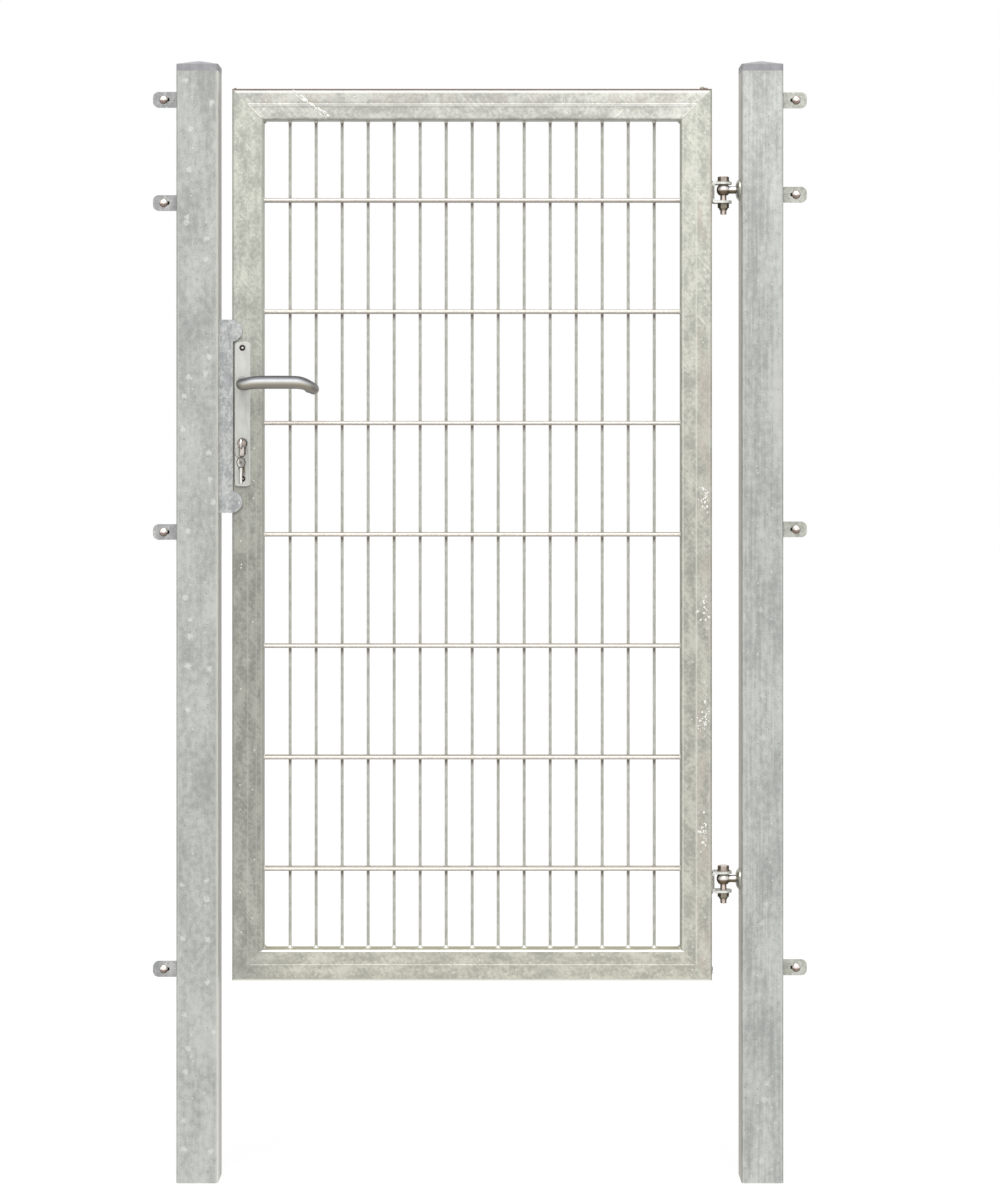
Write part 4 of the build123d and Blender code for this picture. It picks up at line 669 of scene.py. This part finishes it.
# Near white of the painted highlight lines on the frame tubes.
WHITE = (250, 250, 247)
own_finishes = {
    "upright_wires": wire_zinc(),
    "front_rods": rod_finish,
    "rear_rods": rod_finish,
    "upper_hinge_bolt": head_finish,
    "lower_hinge_bolt": head_finish,
    "hinge_washers": head_finish,
    "hinge_nuts": zinc("hinge_nut", (140, 132, 115), (164, 156, 140), NUT_PAINTED_SHADE, 0.6, 0.1),
    "cylinder_body": bright_metal(
        "cylinder_front", (204, 196, 188), (224, 216, 208), 0.28, side_shade((62, 52, 46)), body_outline),
    "front_plug": bright_metal(
        "plug_front", (222, 202, 190), (238, 220, 209), 0.28, side_shade((62, 52, 46)), plug_outline),
    "plate_screws": bright_metal(
        "plate_screw", (232, 228, 222), (250, 247, 243), 0.28, SCREW_PAINTED_SHADE, screw_outline),
    "spare_key": bright_metal(
        "spare_key_front", (232, 229, 222), (250, 248, 243), 0.26, side_shade((72, 60, 52)), spare_outline),
    "upper_eye_bolt": eye_finish,
    "lower_eye_bolt": eye_finish,
    "eye_washers": zinc("eye_washer", (196, 199, 188), (222, 224, 215), DISC_PAINTED_SHADE, 0.9, 0.14),
    "upper_hinge_bracket": bracket_finish,
    "lower_hinge_bracket": bracket_finish,
    # The lug washers' fronts carry the painted shadow of the slots.
    "lug_washers": zinc("lug_washer", (150, 145, 138), (172, 168, 161), WASHER_PAINTED_SHADOW, 0.9, 0.14),
    # Each tube's lines, out from its inner edge, are painted highlights and painted shade along its rounded
    # edges and its seam; the top rail's last one is a dark painted reflection on its upper edge.
    "lock_stile": leaf_zinc(
        "lock_stile_zinc", ((158, 158, 149), (194, 195, 184)), ("Z", 1.1, 1.95), "Z", opening_left, -1,
        ((-0.01, 0.003, 0.0065, 0.55, (186, 187, 173)), (0.0105, 0.0135, 0.0165, 0.4, (184, 184, 174)),
         (0.0275, 0.030, 0.0325, 0.24, (216, 216, 206)), (0.0545, 0.0585, 0.08, 0.5, (190, 190, 182))), 0.14),
    "hinge_stile": leaf_zinc(
        "hinge_stile_zinc", ((182, 181, 170), (202, 203, 191)), ("Z", 1.2, 1.95), "Z", opening_right, 1,
        ((-0.01, 0.0006, 0.0026, 0.7, (142, 142, 130)), (0.0022, 0.0043, 0.0066, 0.7, (216, 217, 204)),
         (0.0270, 0.030, 0.0330, 0.5, (232, 232, 222)), (0.0528, 0.0555, 0.058, 0.35, (206, 206, 194))),
        0.1, 0.4),
    "top_rail": leaf_zinc(
        "top_rail_zinc", ((196, 196, 188), (211, 210, 201)), ("X", 0.1, 0.4), "X", opening_top, 1,
        ((-0.01, 0.0003, 0.0024, 0.5, (150, 146, 132)), (0.0228, 0.0250, 0.0272, 0.4, (150, 142, 128)),
         (0.0258, 0.0288, 0.0318, 0.45, WHITE), (0.0318, 0.0340, 0.0362, 0.25, (160, 152, 140)),
         (0.0495, 0.0540, 0.0566, 0.95, WHITE), (0.0554, 0.0570, 0.08, 0.92, (86, 62, 54))), 0.0, 0.25),
    "bottom_rail": leaf_zinc(
        "bottom_rail_zinc", ((168, 168, 159), (192, 191, 178)), ("X", leaf_left + 0.03, leaf_left + 0.11),
        "X", opening_foot, -1,
        ((0.0006, 0.0026, 0.0056, 0.95, WHITE), (0.0275, 0.030, 0.0325, 0.3, (216, 216, 202)),
         (0.0545, 0.0582, 0.08, 0.8, (244, 243, 228))), dust_and_shade=1.0, underside_light=0.9),
}
for lug_name, side in lugs:
    own_finishes[lug_name] = left_lug if side < 0 else right_lug
splash_finish = zinc("splash_zinc", (236, 236, 230), (253, 253, 249), WELD_SHADE_BELOW, 0.2)
pale_weld = zinc("pale_weld", (206, 206, 197), (238, 238, 230), WELD_SHADE_BELOW)
fillet_weld = zinc("fillet_weld", (176, 174, 158), (196, 194, 180), WELD_SHADE_BELOW)
dull_weld = zinc("dull_weld", (150, 150, 147), (196, 196, 191), WELD_SHADE_BELOW)
edge_drop = zinc("edge_drop", (104, 90, 78), (164, 154, 142), WELD_SHADE_BELOW)
seam_finish = zinc("seam_zinc", (206, 206, 195), (226, 226, 215), WELD_SHADE_BELOW)
for node_name, node in nodes.items():
    for holder in node.material_slots:
        holder.material = own_finishes.get(node_name) or finishes[holder.material.name]


def look_only(piece):
    """Selects one piece and nothing else."""
    bpy.ops.object.select_all(action="DESELECT")
    piece.select_set(True)
    bpy.context.view_layer.objects.active = piece


def settle(piece, place=(0, 0, 0), turn=(0, 0, 0)):
    """Moves and turns a piece, then puts its place into its mesh."""
    piece.location = place
    piece.rotation_euler = turn
    look_only(piece)
    bpy.ops.object.transform_apply(location=True, rotation=True, scale=True)
    return piece


def copy_of(piece):
    """A copy of a piece, with its own mesh."""
    twin = piece.copy()
    twin.data = piece.data.copy()
    bpy.context.scene.collection.objects.link(twin)
    return twin


def copies_at(piece, places):
    """Copies of one piece, each at a place and a turn; the piece they come from is removed."""
    copies = [settle(copy_of(piece), place, turn) for place, turn in places]
    bpy.data.objects.remove(piece)
    return copies


def apply_all(piece):
    """Applies all of a piece's modifiers, in order."""
    look_only(piece)
    for modifier in list(piece.modifiers):
        bpy.ops.object.modifier_apply(modifier=modifier.name)


def close_up():
    """Makes the normals of the edited mesh look outwards and leaves edit mode."""
    bpy.ops.mesh.select_all(action="SELECT")
    bpy.ops.mesh.normals_make_consistent(inside=False)
    bpy.ops.object.mode_set(mode="OBJECT")


def joined(pieces, name, body, material, angle=50):
    """Joins pieces into one named object that rides on a body and takes the given finish."""
    bpy.ops.object.select_all(action="DESELECT")
    for piece in pieces:
        piece.select_set(True)
    whole = pieces[0]
    bpy.context.view_layer.objects.active = whole
    if len(pieces) > 1:
        bpy.ops.object.join()
    whole.name = name
    whole.data.name = name
    whole.data.materials.clear()
    whole.data.materials.append(material)
    bpy.ops.object.shade_smooth_by_angle(angle=math.radians(angle))
    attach(whole, body)
    return whole


def weld_bead(length, width, height, voxel=VOXEL):
    """A rippled bead along X on the origin: overlapping drops of weld, fused and cut flat below."""
    step = 0.42 * width
    count = max(3, round((length - width) / step) + 1)
    step = (length - width) / (count - 1)
    bpy.ops.object.select_all(action="DESELECT")
    bpy.ops.mesh.primitive_uv_sphere_add(segments=16, ring_count=10, radius=0.5)
    bead = bpy.context.object
    bpy.ops.object.mode_set(mode="EDIT")
    bpy.ops.transform.resize(value=(width, width, 2 * height))
    bpy.ops.transform.translate(value=(-(length - width) / 2, 0, 0))
    bpy.ops.object.mode_set(mode="OBJECT")
    ripples = bead.modifiers.new("ripples", "ARRAY")
    ripples.use_relative_offset = False
    ripples.use_constant_offset = True
    ripples.constant_offset_displace = (step, 0, 0)
    ripples.count = count
    fuse = bead.modifiers.new("fuse", "REMESH")
    fuse.mode = "VOXEL"
    fuse.voxel_size = voxel
    apply_all(bead)
    bpy.ops.object.mode_set(mode="EDIT")
    bpy.ops.mesh.select_all(action="SELECT")
    bpy.ops.mesh.bisect(plane_co=(0, 0, -0.4 * height), plane_no=(0, 0, 1), clear_inner=True, use_fill=True)
    bpy.ops.object.mode_set(mode="OBJECT")
    return bead


def upright_turn(out_x, out_y):
    """The turn that stands a bead up along Z, with its crown towards (out_x, out_y)."""
    return (0, -math.pi / 2, math.atan2(-out_y, -out_x))


def level_turn(out_x, up):
    """The turn that lays a bead along Y, with its crown towards (out_x, up)."""
    return (math.atan2(out_x, up), 0, math.pi / 2)


def wound(corners, thickness, reach, pitch, turns):
    """A strand wound up Z from the origin's level, with its middle this far from the axis."""
    bpy.ops.object.select_all(action="DESELECT")
    bpy.ops.mesh.primitive_circle_add(vertices=corners, radius=thickness / 2, fill_type="NOTHING")
    strand = bpy.context.object
    bpy.ops.object.mode_set(mode="EDIT")
    bpy.ops.transform.rotate(value=math.pi / 2, orient_axis="X", center_override=(0, 0, 0))
    bpy.ops.transform.translate(value=(reach, 0, thickness / 2))
    bpy.ops.object.mode_set(mode="OBJECT")
    winding = strand.modifiers.new("winding", "SCREW")
    winding.axis = "Z"
    winding.screw_offset = pitch
    winding.iterations = turns
    winding.steps = winding.render_steps = 18
    apply_all(strand)
    bpy.ops.object.mode_set(mode="EDIT")
    bpy.ops.mesh.select_all(action="SELECT")
    bpy.ops.mesh.fill_holes(sides=corners)
    close_up()
    return strand


def thread(length, diameter, pitch):
    """A thread's ridge, four-sided in section, wound on a shank of this diameter."""
    return wound(4, pitch, diameter / 2 - 0.26 * pitch, pitch, max(1, int(length / pitch) - 1))


def mat_welds():
    """Fused lumps where each wire is pressed and welded between its rods."""
    lump_size = (0.0115, 0.0075, 0.0105)
    flat_back = 0.0024
    sunk = 0.62
    bpy.ops.object.select_all(action="DESELECT")
    bpy.ops.mesh.primitive_uv_sphere_add(segments=8, ring_count=5, radius=0.5)
    lump = bpy.context.object
    bpy.ops.object.mode_set(mode="EDIT")
    bpy.ops.transform.resize(value=lump_size)
    bpy.ops.mesh.select_all(action="SELECT")
    bpy.ops.mesh.bisect(plane_co=(0, flat_back, 0), plane_no=(0, 1, 0), clear_outer=True, use_fill=True)
    bpy.ops.object.mode_set(mode="OBJECT")
    places = []
    for rod_y, turn in ((front_rod_y, (0, 0, 0)), (rear_rod_y, (0, 0, math.pi))):
        for x in wire_places:
            for z in rod_places:
                places.append(((x, rod_y * sunk, z), turn))
    return joined(copies_at(lump, places), "mat_welds", "leaf", rod_finish, 80)


def wire_feet():
    """Concave weld collars where wires and rods run into the frame."""
    collar_radius = 0.0062
    sunk = 0.0004
    rings = ((0.0012, 0.78), (0.0016, 0.82), (0.0026, 0.86))
    bpy.ops.object.select_all(action="DESELECT")
    bpy.ops.mesh.primitive_circle_add(vertices=10, radius=collar_radius, fill_type="NGON")
    collar = bpy.context.object
    bpy.ops.object.mode_set(mode="EDIT")
    bpy.ops.transform.translate(value=(0, 0, -sunk))
    for climb, shrink in rings:
        bpy.ops.mesh.extrude_region_move(TRANSFORM_OT_translate={"value": (0, 0, climb)})
        bpy.ops.transform.resize(value=(shrink, shrink, 1))
    close_up()
    places = []
    for x in wire_places:
        places.append(((x, 0, opening_foot), (0, 0, 0)))
        places.append(((x, 0, opening_top), (math.pi, 0, 0)))
    for z in rod_places:
        for y in (front_rod_y, rear_rod_y):
            places.append(((opening_left, y, z), (0, math.pi / 2, 0)))
            places.append(((opening_right, y, z), (0, -math.pi / 2, 0)))
    return joined(copies_at(collar, places), "wire_feet", "leaf", pale_weld, 80)


def mitre_welds():
    """Low beads, ground nearly flush, from the middle of each mitre to its inner corner, on both faces."""
    reach = 0.5 * math.hypot(frame_face, frame_face) - 0.004
    from_outside = 0.72 * frame_face
    places = []
    for x, lean in ((leaf_left + from_outside, 1), (leaf_right - from_outside, -1)):
        for z, side in ((leaf_foot + from_outside, 1), (leaf_top - from_outside, -1)):
            slope = -lean * side * math.pi / 4
            places.append(((x, leaf_front, z), (math.pi / 2, slope, 0)))
            places.append(((x, leaf_back, z), (-math.pi / 2, slope, 0)))
    beads = copies_at(weld_bead(reach, *MITRE_BEAD, FINE_VOXEL), places)
    foot_beads = [bead for bead, (place, _) in zip(beads, places) if place[2] < opening_foot]
    top_beads = [bead for bead in beads if bead not in foot_beads]
    joined(foot_beads, "foot_mitre_welds", "leaf", own_finishes["bottom_rail"])
    joined(top_beads, "top_mitre_welds", "leaf", seam_finish)


def corner_welds():
    """Fillets in the four inside corners of the frame, from front to back."""
    depth = leaf_back - leaf_front
    places = []
    for x, side in ((opening_left, 1), (opening_right, -1)):
        for z, up in ((opening_foot, 1), (opening_top, -1)):
            lean = side * math.radians(45 if up > 0 else 135)
            places.append(((x, (leaf_front + leaf_back) / 2, z), (lean, 0, math.pi / 2)))
    beads = copies_at(weld_bead(depth - 0.008, *CORNER_BEAD), places)
    return joined(beads, "corner_welds", "leaf", fillet_weld)


def seam_ridges():
    """The rolled tubes' seams: a low ridge down the middle of each member's front face."""
    half = frame_face / 2
    width = leaf_right - leaf_left - frame_face
    height = leaf_top - leaf_foot - frame_face
    middle_x = (leaf_left + leaf_right) / 2
    middle_z = (leaf_foot + leaf_top) / 2
    for member, length, x, z, turn in (
            ("top_rail", width, middle_x, leaf_top - half, math.pi / 2),
            ("bottom_rail", width, middle_x, leaf_foot + half, math.pi / 2),
            ("lock_stile", height, leaf_left + half, middle_z, 0),
            ("hinge_stile", height, leaf_right - half, middle_z, 0)):
        bpy.ops.object.select_all(action="DESELECT")
        bpy.ops.mesh.primitive_circle_add(vertices=12, radius=0.5, fill_type="NGON")
        ridge = bpy.context.object
        bpy.ops.object.mode_set(mode="EDIT")
        bpy.ops.transform.resize(value=(SEAM_WIDTH, SEAM_HEIGHT, 1))
        bpy.ops.transform.translate(value=(0, 0, -length / 2))
        bpy.ops.mesh.extrude_region_move(TRANSFORM_OT_translate={"value": (0, 0, length)})
        close_up()
        settle(ridge, (x, leaf_front, z), (0, turn, 0))
        joined([ridge], f"{member}_seam", "leaf", own_finishes[member])


def lug_welds():
    """Beads down both sides of each lug, where it stands on the post."""
    places = []
    for name, side in lugs:
        low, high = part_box(name)
        middle = (low.z + high.z) / 2
        places.append(((side * post_outer, low.y, middle), upright_turn(side, -1)))
        places.append(((side * post_outer, high.y, middle), upright_turn(side, 1)))
    beads = copies_at(weld_bead(*LUG_BEAD), places)
    return joined(beads, "lug_welds", "posts", dull_weld)


def stop_welds():
    """Stitches behind the stop plate, and beads above and below the strike box, on the latch post."""
    plate_low, plate_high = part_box("stop_plate")
    box_low, box_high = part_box("strike_box")
    stitches = (plate_low.z + 0.030, plate_low.z + 0.080, plate_high.z - 0.026)
    places = [((latch_face, plate_high.y, z), upright_turn(1, 1)) for z in stitches]
    box_middle = (box_low.y + box_high.y) / 2
    places.append(((latch_face, box_middle, box_high.z), level_turn(1, 1)))
    places.append(((latch_face, box_middle, box_low.z), level_turn(1, -1)))
    beads = copies_at(weld_bead(*STOP_BEAD), places)
    return joined(beads, "stop_welds", "posts", dull_weld)


def bracket_welds():
    """Beads round the back of each hinge bracket, where it stands on the stile."""
    places = []
    for name in ("upper_hinge_bracket", "lower_hinge_bracket"):
        low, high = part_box(name)
        middle = (low.z + high.z) / 2
        places.append(((leaf_right, low.y, middle), upright_turn(1, -1)))
        places.append(((leaf_right, high.y, middle), upright_turn(1, 1)))
        places.append(((leaf_right, 0, high.z), level_turn(1, 1)))
        places.append(((leaf_right, 0, low.z), level_turn(1, -1)))
    beads = copies_at(weld_bead(*BRACKET_BEAD), places)
    return joined(beads, "bracket_welds", "leaf", dull_weld)


def stud_threads():
    """Threads on the carriage bolts' free ends behind the lugs."""
    nut_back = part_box("lug_nuts")[1].y
    ridge = thread(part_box("lug_bolts")[1].y - nut_back - STUD_PITCH, STUD_D, STUD_PITCH)
    places = []
    for name, side in lugs:
        low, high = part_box(name)
        place = (side * (post_outer + STUD_REACH), nut_back, (low.z + high.z) / 2)
        places.append((place, (-math.pi / 2, 0, 0)))
    return joined(copies_at(ridge, places), "stud_threads", "posts", thread_finish, 30)


def hinge_threads():
    """Threads on the hinge bolts below their nuts."""
    ridge = thread(HINGE_THREAD, HINGE_BOLT_D, HINGE_BOLT_PITCH)
    places = []
    for name in ("upper_hinge_bolt", "lower_hinge_bolt"):
        low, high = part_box(name)
        places.append((((low.x + high.x) / 2, 0, low.z + HINGE_THREAD_START), (0, 0, 0)))
    return joined(copies_at(ridge, places), "hinge_threads", "leaf", thread_finish, 30)


def front_lever():
    """The front lever's bar: cranked from its neck up to the grip, its end bent back and down.

    Each section is (out from the spindle, back from the grip, up, radius, heading), in mm and degrees.
    """
    sections = (
        (0, 58.1, -1.0, 9.5, -90), (0, 56.4, -1.1, 9.7, -90), (0, 40.4, -1.5, 9.7, -90),
        (0.6, 25.4, -2.7, 10.2, -88), (2.7, 14.8, -4.0, 11.1, -78), (7, 6.1, -4.0, 11.7, -50),
        (14, 1.3, -2.6, 12.2, -22), (24, 0, -0.8, 12.4, -4), (37, 0, 0, 12.6, 0), (70, 0, 0.2, 12.6, 0),
        (104, 0, 0, 12.5, 0), (113, 0.6, -0.6, 12.4, 5), (121, 2.8, -2.3, 12.2, 22),
        (128, 7.3, -5.4, 11.9, 44), (133.5, 14.3, -8.8, 11.5, 62), (136.8, 23.3, -11.2, 11.1, 78),
        (138, 31.3, -12.2, 10.8, 87), (138.1, 36.8, -12.4, 10.5, 90), (138.1, 39.1, -12.4, 9.4, 90),
        (138.1, 40.1, -12.4, 7.0, 90))
    bpy.ops.object.select_all(action="DESELECT")
    bpy.ops.mesh.primitive_circle_add(vertices=20, radius=sections[0][3] / 1000, fill_type="NGON")
    lever = bpy.context.object
    bpy.ops.object.mode_set(mode="EDIT")
    bpy.ops.transform.rotate(value=math.pi / 2, orient_axis="X", center_override=(0, 0, 0))
    centres = [(lock_x + s[0] / 1000, grip_y + s[1] / 1000, lever_z + s[2] / 1000) for s in sections]
    bpy.ops.transform.translate(value=centres[0])
    for k in range(1, len(sections)):
        move = tuple(b - a for a, b in zip(centres[k - 1], centres[k]))
        bpy.ops.mesh.extrude_region_move(TRANSFORM_OT_translate={"value": move})
        turn = math.radians(sections[k][4] - sections[k - 1][4])
        if turn:
            bpy.ops.transform.rotate(value=-turn, orient_axis="Z", center_override=centres[k])
        swell = sections[k][3] / sections[k - 1][3]
        bpy.ops.transform.resize(value=(swell, swell, swell), center_override=centres[k])
    close_up()
    smooth = lever.modifiers.new("smooth", "SUBSURF")
    smooth.levels = smooth.render_levels = 2
    apply_all(lever)
    joined([lever], "front_lever_bar", "lever_set", finishes["lever_aluminium"], 60)
    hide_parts("front_lever")


def latch_spring():
    """The spring round the latch's rod; it is drawn at rest and does not close up as the latch draws in."""
    low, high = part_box("latch_spring")
    length = high.x - low.x
    middle_z = (low.z + high.z) / 2
    pitch = (length - SPRING_WIRE) / SPRING_TURNS
    coil = wound(8, SPRING_WIRE, (high.z - low.z - SPRING_WIRE) / 2, pitch, SPRING_TURNS)
    settle(coil, (low.x, 0, middle_z), (0, math.pi / 2, 0))
    coil = joined([coil], "latch_spring_coil", "leaf", finishes["lock_steel"], 60)
    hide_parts("latch_spring")
    travel = next(joint["range_m"][1] for joint in frame["joints"] if joint["name"] == "latch_slide")
    1 - travel / length
    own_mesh(coil)


def zinc_drops():
    """Drops of zinc frozen on the leaf: on its edges, splashed on the hinge stile, streaked on the top rail.

    A drop on an edge is (place along the edge, length, height).
    """
    top_drops = ((0.4265, 0.010, 0.0085), (0.4335, 0.008, 0.0050), (-0.4690, 0.005, 0.0036))
    side_drops = ((0.4045, 0.011, 0.0040), (0.3975, 0.006, 0.0028))
    highest_splash = 1.31
    splash_count, splash_size = 4, 30
    streak_size = 40
    streak_left, streak_drop = -0.352, 0.008
    streak_wide, streak_tall = 0.062, 0.048
    streak_slope = math.radians(39)
    dice = random.Random(7)
    bpy.ops.object.select_all(action="DESELECT")
    bpy.ops.mesh.primitive_uv_sphere_add(segments=12, ring_count=8, radius=0.5)
    drop = bpy.context.object
    bpy.ops.object.mode_set(mode="EDIT")
    bpy.ops.mesh.select_all(action="SELECT")
    bpy.ops.mesh.bisect(plane_co=(0, 0, -0.2), plane_no=(0, 0, 1), clear_inner=True, use_fill=True)
    bpy.ops.object.mode_set(mode="OBJECT")
    drops = []

    def freeze(place, size, turn=(0, 0, 0)):
        piece = copy_of(drop)
        piece.scale = size
        drops.append(settle(piece, place, turn))

    def gather(name, finish):
        joined(list(drops), name, "leaf", finish, 70)
        drops.clear()

    for x, width, tall in top_drops:
        freeze((x, leaf_front + 0.006, leaf_top), (width, 0.009, tall))
    for z, long, tall in side_drops:
        freeze((leaf_right, leaf_front + 0.008, z), (long, 0.008, tall), (0, math.pi / 2, 0))
    gather("edge_drops", edge_drop)
    for splash_z in [highest_splash - rod_pitch * k for k in range(splash_count)]:
        for _ in range(splash_size):
            wide = dice.uniform(0.0014, 0.0044)
            tall = wide * dice.uniform(0.8, 1.7)
            x = min(leaf_right - 0.0160 + dice.gauss(0, 0.0052), leaf_right - 0.006)
            z = splash_z + dice.gauss(0, 0.0145)
            freeze((x, leaf_front, z), (wide, tall, 0.0012), (math.pi / 2, 0, 0))
    gather("zinc_splashes", splash_finish)
    for _ in range(streak_size):
        along = dice.random()
        x = streak_left + streak_wide * along + dice.gauss(0, 0.0020)
        z = leaf_top - streak_drop - streak_tall * along + dice.gauss(0, 0.0020)
        size = (dice.uniform(0.005, 0.010), dice.uniform(0.0015, 0.0030), 0.0009)
        freeze((x, leaf_front, z), size, (math.pi / 2, streak_slope, 0))
    gather("zinc_streak", splash_finish)
    bpy.data.objects.remove(drop)


def floor_and_light():
    """A white floor that keeps a soft shadow, a white surround and a steep, soft key light."""
    bpy.ops.object.select_all(action="DESELECT")
    bpy.ops.mesh.primitive_plane_add(size=60, location=(0, 0, 0))
    floor = bpy.context.object
    floor.name = "floor"
    material = bpy.data.materials.new("floor_white")
    material.use_nodes = True
    material.node_tree.nodes.clear()
    blank = Shade(material.node_tree)
    seen = seen_rays(blank)
    matte = blank.node("ShaderNodeBsdfDiffuse", sockets={"Color": (0.6, 0.6, 0.6, 1)})
    faint = blank.node("ShaderNodeBsdfDiffuse", sockets={"Color": (0.12, 0.12, 0.12, 1)})
    glow = blank.node("ShaderNodeEmission", sockets={"Color": (1, 1, 1, 1), "Strength": 0.91})
    shown = blank.node("ShaderNodeAddShader", sockets={0: faint, 1: glow})
    either = blank.node("ShaderNodeMixShader", sockets={0: seen, 1: matte, 2: shown})
    blank.node("ShaderNodeOutputMaterial", sockets={"Surface": either})
    floor.data.materials.append(material)

    world = bpy.data.worlds.new("studio")
    bpy.context.scene.world = world
    world.use_nodes = True
    world.node_tree.nodes.clear()
    air = Shade(world.node_tree)
    bright = air.node("ShaderNodeBackground", sockets={"Color": (1, 1, 1, 1), "Strength": 1.0})
    dim = air.node("ShaderNodeBackground", sockets={"Color": (0.97, 0.98, 1, 1), "Strength": 0.35})
    around = air.node("ShaderNodeMixShader", sockets={0: seen_rays(air), 1: dim, 2: bright})
    air.node("ShaderNodeOutputWorld", sockets={"Surface": around})

    bpy.ops.object.light_add(type="SUN", location=KEY_PLACE)
    lamp = bpy.context.object
    lamp.name = "key"
    lamp.data.angle = KEY_SOFTNESS
    lamp.data.energy = KEY_STRENGTH
    lamp.rotation_euler = lamp.location.to_track_quat("Z", "Y").to_euler()


def seen_rays(blank):
    """1 for rays that show the surround itself: straight to the camera, in gloss or through glass."""
    straight = blank.node("ShaderNodeLightPath", output="Is Camera Ray")
    gloss = blank.node("ShaderNodeLightPath", output="Is Glossy Ray")
    through = blank.node("ShaderNodeLightPath", output="Is Transmission Ray")
    return straight.most(gloss).most(through)


def camera():
    """A level camera whose frame is shifted down, so that uprights stay upright."""
    bpy.ops.object.camera_add(location=(CAMERA_X, -CAMERA_DISTANCE, CAMERA_Z), rotation=(math.pi / 2, 0, 0))
    eye = bpy.context.object
    eye.data.sensor_fit = "VERTICAL"
    eye.data.sensor_height = SENSOR
    eye.data.lens = PIXELS_PER_METRE * CAMERA_DISTANCE * SENSOR / PICTURE_HEIGHT
    eye.data.shift_y = -HORIZON_ABOVE_MIDDLE / PICTURE_HEIGHT
    bpy.context.scene.camera = eye


mat_welds()
wire_feet()
mitre_welds()
corner_welds()
seam_ridges()
lug_welds()
stop_welds()
bracket_welds()
stud_threads()
hinge_threads()
front_lever()
latch_spring()
zinc_drops()
floor_and_light()
camera()
bpy.context.scene.view_settings.view_transform = "Standard"
